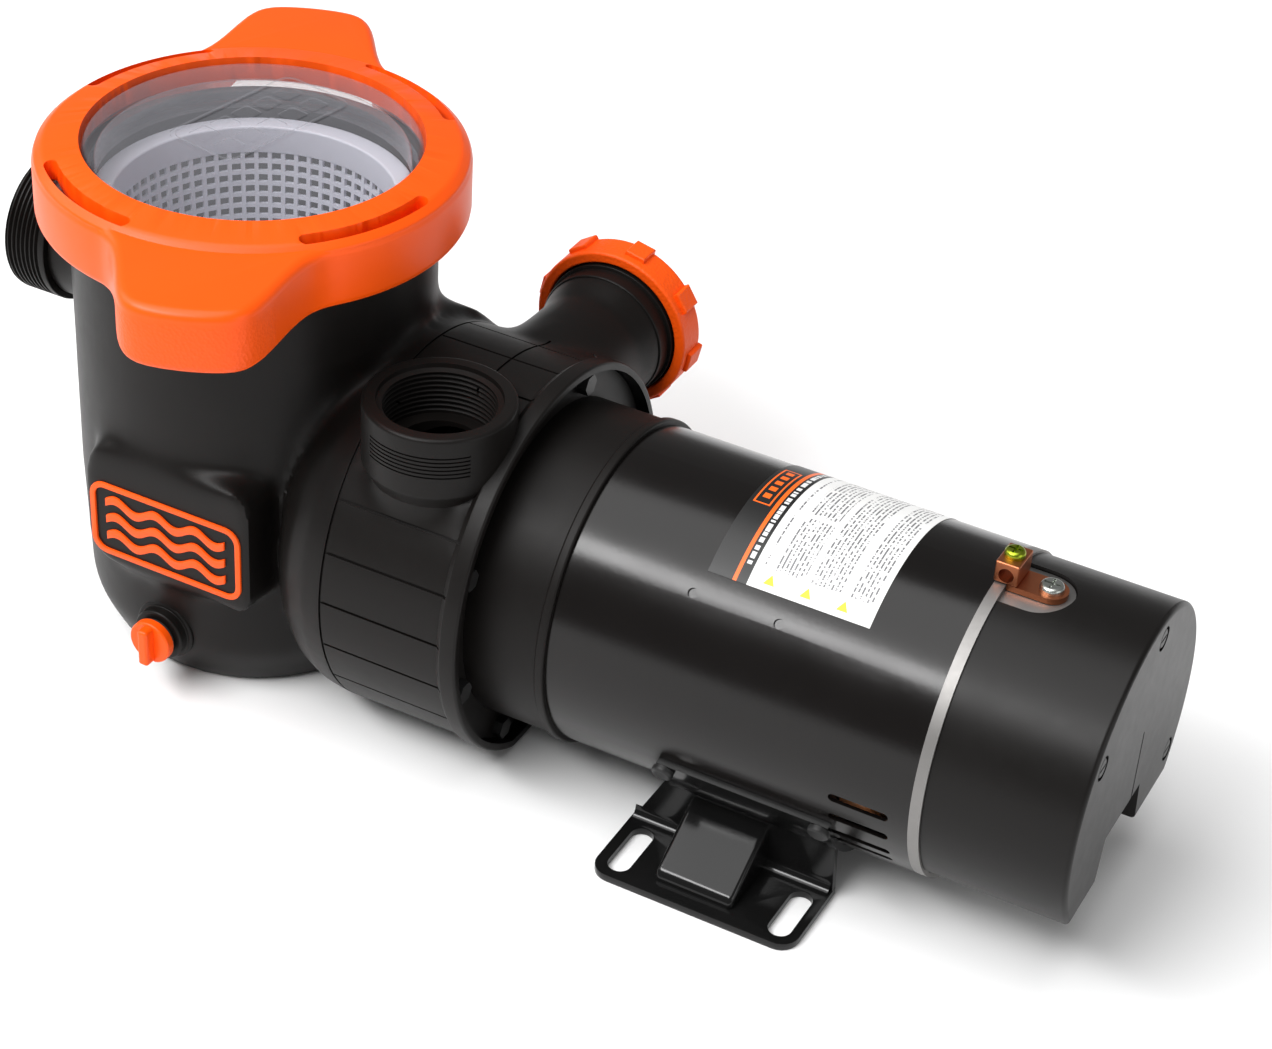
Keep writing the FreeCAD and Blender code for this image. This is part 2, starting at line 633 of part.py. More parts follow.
def bearing_balls(place):
    front, back, outer, bore = place
    wall = (outer - bore) * 0.27
    gap = (outer - bore) / 2 - wall
    radius = gap - 0.6
    middle = (front + back) / 2
    return group([Part.makeSphere(radius, around_shaft(angle, (outer + bore) / 2, middle))
                  for angle in spaced(8)])


def front_end_bell():
    register = SHELL_R - SHELL_WALL - 0.1
    lip = shaft_rod(SHELL_R, SHELL_FRONT, SHELL_FRONT + 1)
    plug = shaft_sleeve(register, 50.0, SHELL_FRONT + 1, -30.0)
    web = shaft_rod(50.0, SHELL_FRONT + 1, SHELL_FRONT + 4)
    hub = shaft_rod(25.0, SHELL_FRONT + 1, -26.0)
    solid = lip.multiFuse([plug, web, hub])
    holes = [shaft_rod(FRONT_BEARING[2], FRONT_BEARING[0], -25.0), shaft_rod(9.4, -44, -38)]
    holes += [rod(2.5, around_shaft(angle, BOLT_RING, -44), around_shaft(angle, BOLT_RING, -29))
              for angle in spaced(4, 45)]
    return solid.cut(holes).removeSplitter()


BOLT_SEAT = SHELL_BACK + 1.0   # face that the through bolts' heads sit on
TONGUE_BACK = 140.6
TONGUE_HALF = 14.0
TONGUE_TOP = 63.6        # its distance from the shaft


def tongue_plan(half, front):
    """Plan outline of the tongue, straight sides and a half-round end."""
    middle = TONGUE_BACK - TONGUE_HALF
    low = SHAFT_Z + 40
    high = SHAFT_Z + 80
    plain = block((front, middle), (-half, half), (low, high))
    return plain.fuse(rod(half, Vector(middle, 0, low), Vector(middle, 0, high)))


def rear_end_bell():
    register = SHELL_R - SHELL_WALL - 0.1
    lip = shaft_sleeve(SHELL_R, 58.0, SHELL_BACK, BAND_BACK)
    plug = shaft_sleeve(register, 56.0, 104.0, SHELL_BACK)
    web = shaft_rod(60.0, SHELL_BACK, SHELL_BACK + 3)
    hub = shaft_rod(21.0, REAR_BEARING[0] - 1, SHELL_BACK + 3)
    tongue = shaft_sleeve(TONGUE_TOP, TONGUE_TOP - 3.4, SHELL_BACK, TONGUE_BACK + 5)
    tongue = tongue.common(tongue_plan(TONGUE_HALF, SHELL_BACK))
    solid = lip.multiFuse([plug, web, hub, tongue])
    holes = [shaft_rod(REAR_BEARING[2], REAR_BEARING[0] - 2, REAR_BEARING[1]), shaft_rod(7.0, 90, 120),
             rod(2.0, Vector(LUG_SCREW_X, 0, 130), Vector(LUG_SCREW_X, 0, 150))]
    holes += [rod(2.5, around_shaft(angle, BOLT_RING, 100), around_shaft(angle, BOLT_RING, 120))
              for angle in spaced(4, 45)]
    holes += [rod(5.0, around_shaft(angle, BOLT_RING, BOLT_SEAT), around_shaft(angle, BOLT_RING, 120))
              for angle in spaced(4, 45)]
    holes += [rod(1.9, around_shaft(angle, COVER_SCREW_R, 110), around_shaft(angle, COVER_SCREW_R, 120))
              for angle in COVER_SCREW_ANGLES]
    return solid.cut(holes).removeSplitter()


def stator_core():
    ring = shaft_sleeve(SHELL_R - SHELL_WALL, 38.0, STATOR_FRONT, STATOR_BACK)
    notches = [rod(2.6, around_shaft(angle, BOLT_RING, 0), around_shaft(angle, BOLT_RING, 90))
               for angle in spaced(4, 45)]
    slots = []
    for angle in spaced(24):
        slots.append(band(37.0, 50.0, STATOR_FRONT - 1, STATOR_BACK + 1, angle - 1.2, 2.4))
    return ring.cut(notches + slots)


def stator_windings():
    ends = []
    for front, direction in ((STATOR_FRONT, FRONTWARD), (STATOR_BACK, BACKWARD)):
        profile = [(41, 0, 1), (56, 0, 1), (55, 15, 6), (43, 15, 5)]
        ends.append(turned(profile, Vector(front, 0, SHAFT_Z), direction))
    return group(ends)


def rotor_core():
    core = shaft_sleeve(37.6, CORE_SHAFT_R, STATOR_FRONT, STATOR_BACK)
    ends = [shaft_sleeve(33.0, 20.0, STATOR_FRONT - 5, STATOR_FRONT),
            shaft_sleeve(33.0, 20.0, STATOR_BACK, STATOR_BACK + 5)]
    return core.multiFuse(ends).removeSplitter()


def cooling_fan():
    hub = shaft_sleeve(14.0, CORE_SHAFT_R, 84.0, 91.0)
    disc = shaft_sleeve(36.0, 13.0, 84.0, 85.6)
    blades = []
    for angle in spaced(8):
        blade = block((85.0, 93.0), (-0.8, 0.8), (SHAFT_Z + 13.5, SHAFT_Z + 35.0))
        blade.rotate(SHAFT, BACKWARD, angle)
        blades.append(blade)
    return hub.multiFuse([disc] + blades).removeSplitter()


def wave_washer():
    return shaft_sleeve(REAR_BEARING[2] - 0.4, 11.0, REAR_BEARING[0] - 0.9, REAR_BEARING[0] - 0.1)


BOLT_LENGTH = 170.0


def through_bolts():
    bolts = []
    for angle in spaced(4, 45):
        bolts.append(hex_screw(angle, BOLT_RING, BOLT_SEAT, BOLT_LENGTH, 2.1, 8, 3.2))
    return group(bolts)


def switch_rotor():
    profile = [(REAR_BEARING[3], 0, 0), (14, 0, 0.5), (14, 1.6, 0.3), (9, 2.2, 1), (9, 5, 1),
               (13, 5.6, 0.4), (13, 7, 0.4), (REAR_BEARING[3], 7, 0)]
    return turned(profile, Vector(119.5, 0, SHAFT_Z), BACKWARD)


def switch_plate():
    plate = shaft_sleeve(25.0, 15.5, 115.6, 117.4)
    window = block((114, 119), (-40, 40), (SHAFT_Z + 20, SHAFT_Z + 40))
    contact = block((117.4, 121.4), (16, 23), (SHAFT_Z - 5, SHAFT_Z + 5))
    return plate.cut(window).fuse(contact)


def motor_capacitor():
    base = Vector(150.0, -34, 107.0)
    return turned([(0, 0, 0), (16.5, 0, 1.5), (16.5, 66, 1.5), (0, 66, 0)], base, AWAY)


def capacitor_strap():
    centre = Vector(150.0, -8, 107.0)
    loop = rod(17.6, centre, centre + AWAY * 14).cut(rod(16.5, centre, centre + AWAY * 14))
    leg = block((BAND_BACK - 1.5, 134.0), (-8, 6), (106.0, 107.6))
    return loop.fuse(leg.cut(rod(16.6, centre - AWAY, centre + AWAY * 16)))


def terminal_board():
    board = block((117.0, 120.0), (-24, 24), (41.0, 50.0))
    posts = [shaft_rod(2.2, 120.0, 126.0, y, 45.5) for y in (-18, -6, 6, 18)]
    legs = [block((SHELL_BACK + 3, 117.0), (y - 3, y + 3), (42.0, 49.0)) for y in (-20, 20)]
    return board.multiFuse(posts + legs)


POCKET_DEPTH = 1.4
COVER_SCREW_LENGTH = 60.0
GROMMET_Y = -4.0
GROMMET_Z = 47.0
GROMMET_R = 7.0
NOTCH = [(-30, 20), (21, 20), (15, 57.0), (-22, 57.0)]     # cord recess, as y and z corners
NOTCH_PANEL = 160.0


def cover_section(inset, front, back):
    """D-shaped cross-section of the rear cover, shrunk by inset."""
    disc = shaft_rod(COVER_R - inset, front, back)
    keep = block((front, back), (-100, 100), (COVER_FLOOR + inset, 200))
    return disc.common(keep)


def notch_prism(grow, front, back):
    corners = [(y + math.copysign(grow, y), z + (grow if z > 50 else 0), 0) for y, z in NOTCH]
    return prism_along_shaft(corners, front, back)


def rear_cover():
    outside = cover_section(0, BAND_BACK, COVER_BACK)
    soft = edges_between(outside, (COVER_BACK - 0.1, -100, 0), (COVER_BACK + 0.1, 100, 200))
    outside = outside.makeFillet(2.0, soft)
    inside = cover_section(COVER_WALL, BAND_BACK - 1, COVER_BACK - COVER_WALL)
    recess = notch_prism(COVER_WALL, NOTCH_PANEL - COVER_WALL, COVER_BACK)
    cover = outside.cut(inside).fuse(recess.common(outside))
    cuts = [notch_prism(0, NOTCH_PANEL, COVER_BACK + 1), tongue_plan(TONGUE_HALF + 0.4, BAND_BACK - 1),
            rod(GROMMET_R - 1.2, Vector(NOTCH_PANEL - 4, GROMMET_Y, GROMMET_Z),
                Vector(NOTCH_PANEL + 1, GROMMET_Y, GROMMET_Z))]
    for angle in COVER_SCREW_ANGLES:
        start = around_shaft(angle, COVER_SCREW_R, COVER_BACK - POCKET_DEPTH)
        cuts.append(rod(5.0, start, start + BACKWARD * 3))
        cuts.append(rod(2.2, start - BACKWARD * 3, start + BACKWARD))
    cuts.append(block((COVER_BACK - 0.7, COVER_BACK + 1), (5.0, 6.2), (57.0, 89.0)))
    return cover.cut(cuts).removeSplitter()


def cover_screws():
    screws = []
    for angle in COVER_SCREW_ANGLES:
        seat = around_shaft(angle, COVER_SCREW_R, COVER_BACK - POCKET_DEPTH)
        head = turned([(0, 0, 0), (4.0, 0, 0), (4.0, 1.3, 0.8), (0, 1.3, 0)], seat, BACKWARD)
        slot = block((seat.x + 0.6, seat.x + 2), (seat.y - 3, seat.y + 3), (seat.z - 0.5, seat.z + 0.5))
        screws.append(head.fuse(rod(1.8, seat - BACKWARD * COVER_SCREW_LENGTH, seat)).cut(slot))
    return group(screws)


def cord_grommet():
    profile = [(3.6, 0, 0.4), (GROMMET_R, 0, 0.6), (GROMMET_R, 1.6, 0), (GROMMET_R - 1.2, 1.6, 0),
               (GROMMET_R - 1.2, 4.0, 0), (GROMMET_R, 4.0, 0), (GROMMET_R, 6.4, 1.4), (3.6, 6.4, 0.4)]
    start = Vector(NOTCH_PANEL - 4.0, GROMMET_Y, GROMMET_Z)
    return turned(profile, start, BACKWARD)


# ---- earthing lug and label ---------------------------------------------------------------------
LUG_Z = SHAFT_Z + TONGUE_TOP
LUG_HEIGHT = 11.6
WIRE_Z = LUG_Z + 6.4
WIRE_R = 3.0


def ground_lug():
    strip = block((116.3, LUG_SCREW_X), (-6.5, 6.5), (LUG_Z, LUG_Z + 2.4))
    end = rod(6.5, Vector(LUG_SCREW_X, 0, LUG_Z), Vector(LUG_SCREW_X, 0, LUG_Z + 2.4))
    box = block((111.0, 120.4), (-7.0, 7.0), (LUG_Z + 2.75, LUG_Z + LUG_HEIGHT))
    box = box.makeFillet(0.6, box.Edges)
    neck = block((116.3, 119.4), (-6.0, 6.0), (LUG_Z + 1, LUG_Z + 4))
    lug = strip.multiFuse([end, box, neck])
    wire = rod(WIRE_R, Vector(LUG_WIRE_X, -10, WIRE_Z), Vector(LUG_WIRE_X, 10, WIRE_Z))
    clamp = rod(1.9, Vector(LUG_WIRE_X, 0, WIRE_Z), Vector(LUG_WIRE_X, 0, LUG_Z + LUG_HEIGHT + 1))
    hole = rod(2.0, Vector(LUG_SCREW_X, 0, LUG_Z - 1), Vector(LUG_SCREW_X, 0, LUG_Z + 4))
    return lug.cut([wire, clamp, hole]).removeSplitter()


def slotted_head(centre, radius, height, slot_depth):
    head = turned([(0, 0, 0), (radius, 0, 0), (radius, height, height * 0.6), (0, height, 0)], centre, UP)
    top = centre.z + height
    bars = [block((centre.x - radius * 0.7, centre.x + radius * 0.7), (-0.45, 0.45),
                  (top - slot_depth, top + 1)),
            block((centre.x - 0.45, centre.x + 0.45), (-radius * 0.7, radius * 0.7),
                  (top - slot_depth, top + 1))]
    return head.cut(bars)


def lug_clamp_screw():
    seat = Vector(LUG_WIRE_X, 0, LUG_Z + LUG_HEIGHT)
    shank = LUG_HEIGHT - (WIRE_Z + WIRE_R + 0.2 - LUG_Z)
    return slotted_head(seat, 4.0, 3.0, 1.4).fuse(rod(1.85, seat - UP * shank, seat))


def lug_mount_screw():
    seat = Vector(LUG_SCREW_X, 0, LUG_Z + 2.4)
    return slotted_head(seat, 4.7, 2.6, 1.3).fuse(rod(1.95, seat - UP * 7, seat))


def rating_label():
    return band(SHELL_R + 0.02, SHELL_R + 0.25, 11.6, 78.1, -40.0, 78.0)


# ---- foot ---------------------------------------------------------------------------------------
BEND_Y = 46.0
CRADLE_R = SHELL_R + 2.8
CRADLE_FRONT = 7.0
CRADLE_BACK = 80.0
CRADLE_ANGLE = 113.0     # from the top down to the cradle's upper edge


def foot_flange(side):
    corners = [(FOOT_FRONT, side * (BEND_Y - 3), 0), (FOOT_FRONT, side * FOOT_HALF_WIDTH, 8),
               (FOOT_BACK, side * FOOT_HALF_WIDTH, 8), (FOOT_BACK, side * (BEND_Y - 3), 0)]
    plate = prism(corners, 0, FOOT_PLATE)
    top = edges_between(plate, (-100, -100, FOOT_PLATE - 0.1), (100, 100, FOOT_PLATE + 0.1))
    outer = [edge for edge in top if abs(edge.CenterOfMass.y) > BEND_Y]
    return plate.makeFillet(0.8, outer)


def foot_web(side):
    """Upright wall from the flange's bend to the cradle, narrower at the top."""
    face = [(FOOT_FRONT, 0, 0), (FOOT_BACK, 0, 0), (CRADLE_BACK - 3, 33, 6), (CRADLE_FRONT, 33, 6)]
    near = side * BEND_Y
    far = side * (BEND_Y - FOOT_PLATE)
    wall = Part.Face(rounded_loop(face, lambda u, v: Vector(u, min(near, far), v)))
    wall = wall.extrude(Vector(0, FOOT_PLATE, 0))
    return wall.cut(shaft_rod(SHELL_R, -60, 120))


def foot_gusset(side):
    """Pressed rib that ties the flange to the web, with soft edges."""
    front = 17.6
    back = 47.6
    section = [(side * (BEND_Y - 1), FOOT_PLATE - 1, 0), (side * 74.5, FOOT_PLATE - 1, 0),
               (side * 73.0, FOOT_PLATE + 1.2, 3), (side * 50.0, 22.0, 9), (side * (BEND_Y - 1), 25.0, 0)]
    rib = prism_along_shaft(section, front, back)
    ends = [edge for edge in rib.Edges if abs(edge.CenterOfMass.x - 32.6) > 14
            and edge.CenterOfMass.z > FOOT_PLATE and abs(edge.CenterOfMass.y) > BEND_Y]
    return rib.makeFillet(3.0, ends).cut(shaft_rod(SHELL_R, -60, 120))


def foot_slots(side):
    slots = []
    reach = SLOT_LENGTH / 2 - SLOT_HALF_WIDTH
    for x in (0.0, SLOT_PITCH):
        middle = block((x - SLOT_HALF_WIDTH, x + SLOT_HALF_WIDTH),
                       (side * SLOT_Y - reach, side * SLOT_Y + reach), (-1, FOOT_PLATE + 1))
        slots.append(middle)
        for y in (side * SLOT_Y - reach, side * SLOT_Y + reach):
            slots.append(rod(SLOT_HALF_WIDTH, Vector(x, y, -1), Vector(x, y, FOOT_PLATE + 1)))
    return slots


FOOT_SCREW_ANGLE = 116.5
FOOT_SCREWS_X = (9.6, 76.0)


def motor_foot():
    cradle = band(SHELL_R, CRADLE_R, CRADLE_FRONT, CRADLE_BACK, CRADLE_ANGLE, 360 - 2 * CRADLE_ANGLE)
    pieces = []
    slots = []
    for side in (-1, 1):
        pieces += [foot_flange(side), foot_web(side), foot_gusset(side)]
        slots += foot_slots(side)
        for x in FOOT_SCREWS_X:
            slots.append(rod(2.2, around_shaft(side * FOOT_SCREW_ANGLE, SHELL_R - 1, x),
                             around_shaft(side * FOOT_SCREW_ANGLE, CRADLE_R + 1, x)))
    return cradle.multiFuse(pieces).cut(slots).removeSplitter()


def foot_screws():
    screws = []
    for side in (-1, 1):
        for x in FOOT_SCREWS_X:
            seat = around_shaft(side * FOOT_SCREW_ANGLE, CRADLE_R, x)
            outward = seat - Vector(x, 0, SHAFT_Z)
            outward.normalize()
            head = turned([(0, 0, 0), (4.4, 0, 0), (4.4, 2.6, 1.2), (0, 2.6, 0)], seat, outward)
            screws.append(head.fuse(rod(2.0, seat - outward * (CRADLE_R - SHELL_R), seat)))
    return group(screws)


# ---- all pieces ---------------------------------------------------------------------------------
def pieces():
    front_outer, front_inner = bearing_rings(FRONT_BEARING)
    rear_outer, rear_inner = bearing_rings(REAR_BEARING)
    return {
        "pump_body": pump_body(), "lid_ring": lid_ring(), "clear_lid": clear_lid(),
        "lid_seal": lid_seal(), "strainer_basket": strainer_basket(), "drain_plug": drain_plug(),
        "drain_plug_seal": drain_plug_seal(), "discharge_cap": discharge_cap(),
        "cap_gasket": cap_gasket(), "motor_bracket": motor_bracket(), "volute_seal": volute_seal(),
        "bracket_screws": bracket_screws(), "impeller": impeller(), "seal_spring": seal_spring(),
        "seal_head": seal_head(), "seal_seat": seal_seat(), "slinger": slinger(),
        "rotor_shaft": rotor_shaft(), "rotor_core": rotor_core(), "cooling_fan": cooling_fan(),
        "switch_rotor": switch_rotor(), "switch_plate": switch_plate(),
        "front_bearing_outer": front_outer, "front_bearing_inner": front_inner,
        "front_bearing_balls": bearing_balls(FRONT_BEARING), "rear_bearing_outer": rear_outer,
        "rear_bearing_inner": rear_inner, "rear_bearing_balls": bearing_balls(REAR_BEARING),
        "wave_washer": wave_washer(), "motor_shell": motor_shell(),
        "front_end_bell": front_end_bell(), "rear_end_bell": rear_end_bell(),
        "stator_core": stator_core(), "stator_windings": stator_windings(),
        "through_bolts": through_bolts(), "motor_capacitor": motor_capacitor(),
        "capacitor_strap": capacitor_strap(), "terminal_board": terminal_board(),
        "rear_cover": rear_cover(), "cover_screws": cover_screws(), "cord_grommet": cord_grommet(),
        "ground_lug": ground_lug(), "lug_clamp_screw": lug_clamp_screw(),
        "lug_mount_screw": lug_mount_screw(), "rating_label": rating_label(),
        "motor_foot": motor_foot(), "foot_screws": foot_screws(),
    }


def main():
    os.makedirs("parts", exist_ok=True)
    for name, shape in pieces().items():
        solids = len(shape.Solids)
        size = shape.BoundBox
        print(f"{name}: {solids} solid(s), valid {shape.isValid()}, {shape.Volume / 1000:.1f} cm3, "
              f"x {size.XMin:.1f} to {size.XMax:.1f}, y {size.YMin:.1f} to {size.YMax:.1f}, "
              f"z {size.ZMin:.1f} to {size.ZMax:.1f}")
        shape.exportStep(os.path.join("parts", name + ".step"))


main()
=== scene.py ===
import json
import math

import bpy
from mathutils import Matrix, Vector


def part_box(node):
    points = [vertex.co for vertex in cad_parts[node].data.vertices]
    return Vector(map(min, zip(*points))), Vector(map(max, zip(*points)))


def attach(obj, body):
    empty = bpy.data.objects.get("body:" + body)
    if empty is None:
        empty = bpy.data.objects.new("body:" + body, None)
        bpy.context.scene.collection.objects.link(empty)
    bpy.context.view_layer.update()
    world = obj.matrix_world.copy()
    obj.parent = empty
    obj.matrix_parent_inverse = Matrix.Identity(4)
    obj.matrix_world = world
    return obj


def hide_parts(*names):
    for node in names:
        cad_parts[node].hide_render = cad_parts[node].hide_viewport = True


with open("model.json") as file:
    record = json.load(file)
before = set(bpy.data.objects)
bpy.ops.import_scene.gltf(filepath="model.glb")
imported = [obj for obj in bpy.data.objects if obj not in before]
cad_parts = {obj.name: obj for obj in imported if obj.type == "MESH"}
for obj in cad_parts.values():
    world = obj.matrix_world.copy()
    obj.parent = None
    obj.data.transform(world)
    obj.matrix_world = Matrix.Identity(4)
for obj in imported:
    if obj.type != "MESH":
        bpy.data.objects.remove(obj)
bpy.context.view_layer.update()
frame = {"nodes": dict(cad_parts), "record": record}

bl_info = {
    "name": "Pool pump",
    "version": (1, 0, 0),
    "blender": (4, 5, 0),
    "location": "3D View > Sidebar > Pool pump",
    "description": "Models the visible pieces of a pool pump around its fixed frame",
    "category": "Object",
}

# Lengths in this file are millimetres and angles are degrees; MM turns a length into Blender's metres.
# +X runs from the suction port to the motor's rear cover, +Z is up, and the floor is z = 0.
MM = 0.001


def node_box(node):
    """Lowest and highest corner of a node of the frame, in millimetres."""
    low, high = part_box(node)
    return low / MM, high / MM


SHELL_LOW, SHELL_HIGH = node_box("motor_shell")
BASKET_LOW, BASKET_HIGH = node_box("strainer_basket")
RING_LOW, RING_HIGH = node_box("lid_ring")
BODY_LOW, BODY_HIGH = node_box("pump_body")
CAP_LOW, CAP_HIGH = node_box("discharge_cap")
LABEL_LOW, LABEL_HIGH = node_box("rating_label")
PLUG_LOW, PLUG_HIGH = node_box("drain_plug")

SHAFT_Z = (SHELL_LOW.z + SHELL_HIGH.z) / 2
SHELL_R = (SHELL_HIGH.z - SHELL_LOW.z) / 2
POT_X = (BASKET_LOW.x + BASKET_HIGH.x) / 2
PORT_X = (CAP_LOW.x + CAP_HIGH.x) / 2
REAR_PORT_Z = (CAP_LOW.z + CAP_HIGH.z) / 2
DRAIN_Z = (PLUG_LOW.z + PLUG_HIGH.z) / 2
SUCTION_END = BODY_LOW.x
RING_TOP = RING_HIGH.z
RING_BOTTOM = RING_LOW.z

SUCTION_Z = 155.7
UPRIGHT_Y = -40.0
UPRIGHT_TOP = 163.3
REAR_PORT_END = 111.0
RIM_X = -72.3
DRUM_FRONT = -170.0
CHAMBER_BACK = -83.0
PANEL_FRONT = -135.5
PAD_FACE = -77.0
WINDOW_R = 67.8
LOBE_ANGLES = (-67.5, 112.5)
SLOT_ANGLES = (-22.5, 67.5, 157.5, 247.5)

UP = Vector((0, 0, 1))
BACKWARD = Vector((1, 0, 0))
FRONTWARD = Vector((-1, 0, 0))
AWAY = Vector((0, 1, 0))
NEAR = Vector((0, -1, 0))
POT = Vector((POT_X, 0, 0))
SHAFT = Vector((0, 0, SHAFT_Z))


# ---- sizes and colours that a user may change -----------------------------------------------------
class PumpSizes(bpy.types.PropertyGroup):
    pot_radius: bpy.props.FloatProperty(
        name="Pot radius", description="Outside of the strainer pot", default=73.5 * MM, unit="LENGTH")
    drum_radius: bpy.props.FloatProperty(
        name="Drum radius", description="Outside of the volute drum", default=81.0 * MM, unit="LENGTH")
    skin_voxel: bpy.props.FloatProperty(
        name="Skin cell", description="Cell size of the moulding's blended skin", default=1.9 * MM,
        unit="LENGTH")


class PumpColours(bpy.types.PropertyGroup):
    moulding: bpy.props.FloatVectorProperty(
        name="Moulding", description="Charcoal black plastic", default=(0.0062, 0.0052, 0.0047),
        subtype="COLOR", size=3, min=0, max=1)
    orange: bpy.props.FloatVectorProperty(
        name="Ring and plugs", description="Bright orange plastic", default=(1.0, 0.095, 0.002),
        subtype="COLOR", size=3, min=0, max=1)
    enamel: bpy.props.FloatVectorProperty(
        name="Motor enamel", description="Glossy black enamel", default=(0.0045, 0.0036, 0.0033),
        subtype="COLOR", size=3, min=0, max=1)
    basket: bpy.props.FloatVectorProperty(
        name="Basket", description="Pale strainer basket", default=(0.66, 0.67, 0.76),
        subtype="COLOR", size=3, min=0, max=1)


class StageSettings(bpy.types.PropertyGroup):
    focal_length: bpy.props.FloatProperty(
        name="Focal length", description="Camera lens", default=83.06, subtype="DISTANCE_CAMERA")
    azimuth: bpy.props.FloatProperty(
        name="Azimuth", description="Camera's turn about the upright axis", default=math.radians(25.80),
        subtype="ANGLE")
    elevation: bpy.props.FloatProperty(
        name="Elevation", description="Camera's height above the horizon", default=math.radians(35.31),
        subtype="ANGLE")
    roll: bpy.props.FloatProperty(
        name="Roll", description="Camera's turn about its own line of sight", default=math.radians(3.94),
        subtype="ANGLE")
    key_power: bpy.props.FloatProperty(
        name="Key light", description="Power of the large light above the near side", default=20.0,
        unit="POWER")


# ---- modelling steps ------------------------------------------------------------------------------
def focus(piece):
    """Makes piece the only selected object."""
    bpy.ops.object.select_all(action="DESELECT")
    piece.select_set(True)
    bpy.context.view_layer.objects.active = piece


def named(name):
    piece = bpy.context.active_object
    piece.name = name
    piece.data.name = name
    focus(piece)
    return piece


def arc_points(corners, steps=6):
    """Points of a closed outline. Corners are (u, v) or (u, v, radius), and a radius rounds its corner."""
    points = []
    count = len(corners)
    for index, corner in enumerate(corners):
        here = Vector(corner[:2])
        if len(corner) == 2:
            points.append(here)
            continue
        before = (Vector(corners[index - 1][:2]) - here).normalized()
        after = (Vector(corners[(index + 1) % count][:2]) - here).normalized()
        half = before.angle(after) / 2
        centre = here + (before + after).normalized() * (corner[2] / math.sin(half))
        arm = here + before * (corner[2] / math.tan(half)) - centre
        side = before.x * after.y - before.y * after.x
        turn = math.copysign(math.pi - 2 * half, -side)
        for step in range(steps + 1):
            points.append(centre + Matrix.Rotation(turn * step / steps, 2) @ arm)
    return points


def outline(name, points, place):
    """Closed loop of edges through points; place turns (u, v) into a position in millimetres."""
    bpy.ops.object.select_all(action="DESELECT")
    bpy.ops.mesh.primitive_circle_add(vertices=len(points), radius=1)
    piece = named(name)
    for vertex, point in zip(piece.data.vertices, points):
        vertex.co = Vector(place(point.x, point.y)) * MM
    return piece


def tidy_mesh(piece, merge=0.00001):
    """Merges doubles and turns every face outwards."""
    focus(piece)
    bpy.ops.object.mode_set(mode="EDIT")
    bpy.ops.mesh.select_all(action="SELECT")
    bpy.ops.mesh.remove_doubles(threshold=merge)
    bpy.ops.mesh.normals_make_consistent(inside=False)
    bpy.ops.object.mode_set(mode="OBJECT")


def stand(piece, base, direction):
    """Moves a piece made about +Z so that it starts at base and points along direction."""
    turn = UP.rotation_difference(direction).to_matrix().to_4x4()
    piece.matrix_world = Matrix.Translation(base * MM) @ turn
    focus(piece)
    bpy.ops.object.transform_apply(location=True, rotation=True, scale=True)
    return piece


def turned(name, corners, base, direction, sides=128, sweep=360.0, start=0.0):
    """Solid turned about the line from base along direction; corners are (radius, height, rounding)."""
    piece = outline(name, arc_points(corners), lambda u, v: (u, 0, v))
    bpy.ops.object.mode_set(mode="EDIT")
    bpy.ops.mesh.select_all(action="SELECT")
    if sweep < 360:
        bpy.ops.mesh.edge_face_add()
    bpy.ops.mesh.spin(steps=sides, angle=math.radians(-sweep), center=(0, 0, 0), axis=(0, 0, 1))
    bpy.ops.object.mode_set(mode="OBJECT")
    tidy_mesh(piece)
    piece.data.transform(Matrix.Rotation(math.radians(start), 4, "Z"))
    return stand(piece, base, direction)


def prism(name, corners, low, high, place):
    """Solid of an outline between two depths; place turns (u, v, depth) into a position."""
    piece = outline(name, arc_points(corners), lambda u, v: place(u, v, low))
    shift = (Vector(place(0, 0, high)) - Vector(place(0, 0, low))) * MM
    bpy.ops.object.mode_set(mode="EDIT")
    bpy.ops.mesh.select_all(action="SELECT")
    bpy.ops.mesh.edge_face_add()
    bpy.ops.mesh.extrude_region_move(TRANSFORM_OT_translate={"value": shift})
    bpy.ops.object.mode_set(mode="OBJECT")
    tidy_mesh(piece)
    return piece


def rod(name, radius, start, end, sides=64):
    """Round bar between two points."""
    span = end - start
    bpy.ops.object.select_all(action="DESELECT")
    bpy.ops.mesh.primitive_cylinder_add(vertices=sides, radius=radius * MM, depth=span.length * MM)
    piece = named(name)
    piece.data.transform(Matrix.Translation((0, 0, span.length / 2 * MM)))
    return stand(piece, start, span)


def cuboid(name, low, high):
    bpy.ops.object.select_all(action="DESELECT")
    middle = (Vector(low) + Vector(high)) / 2 * MM
    size = (Vector(high) - Vector(low)) * MM
    bpy.ops.mesh.primitive_cube_add(size=1, location=middle, scale=size)
    piece = named(name)
    bpy.ops.object.transform_apply(location=True, rotation=True, scale=True)
    return piece


def joined(name, pieces):
    bpy.ops.object.select_all(action="DESELECT")
    for piece in pieces:
        piece.select_set(True)
    bpy.context.view_layer.objects.active = pieces[0]
    if len(pieces) > 1:
        bpy.ops.object.join()
    return named(name)


def modify(piece, kind, **settings):
    """Adds one modifier, sets it and applies it."""
    focus(piece)
    bpy.ops.object.modifier_add(type=kind)
    modifier = piece.modifiers[-1]
    for key, value in settings.items():
        setattr(modifier, key, value)
    bpy.ops.object.modifier_apply(modifier=modifier.name)
    return piece


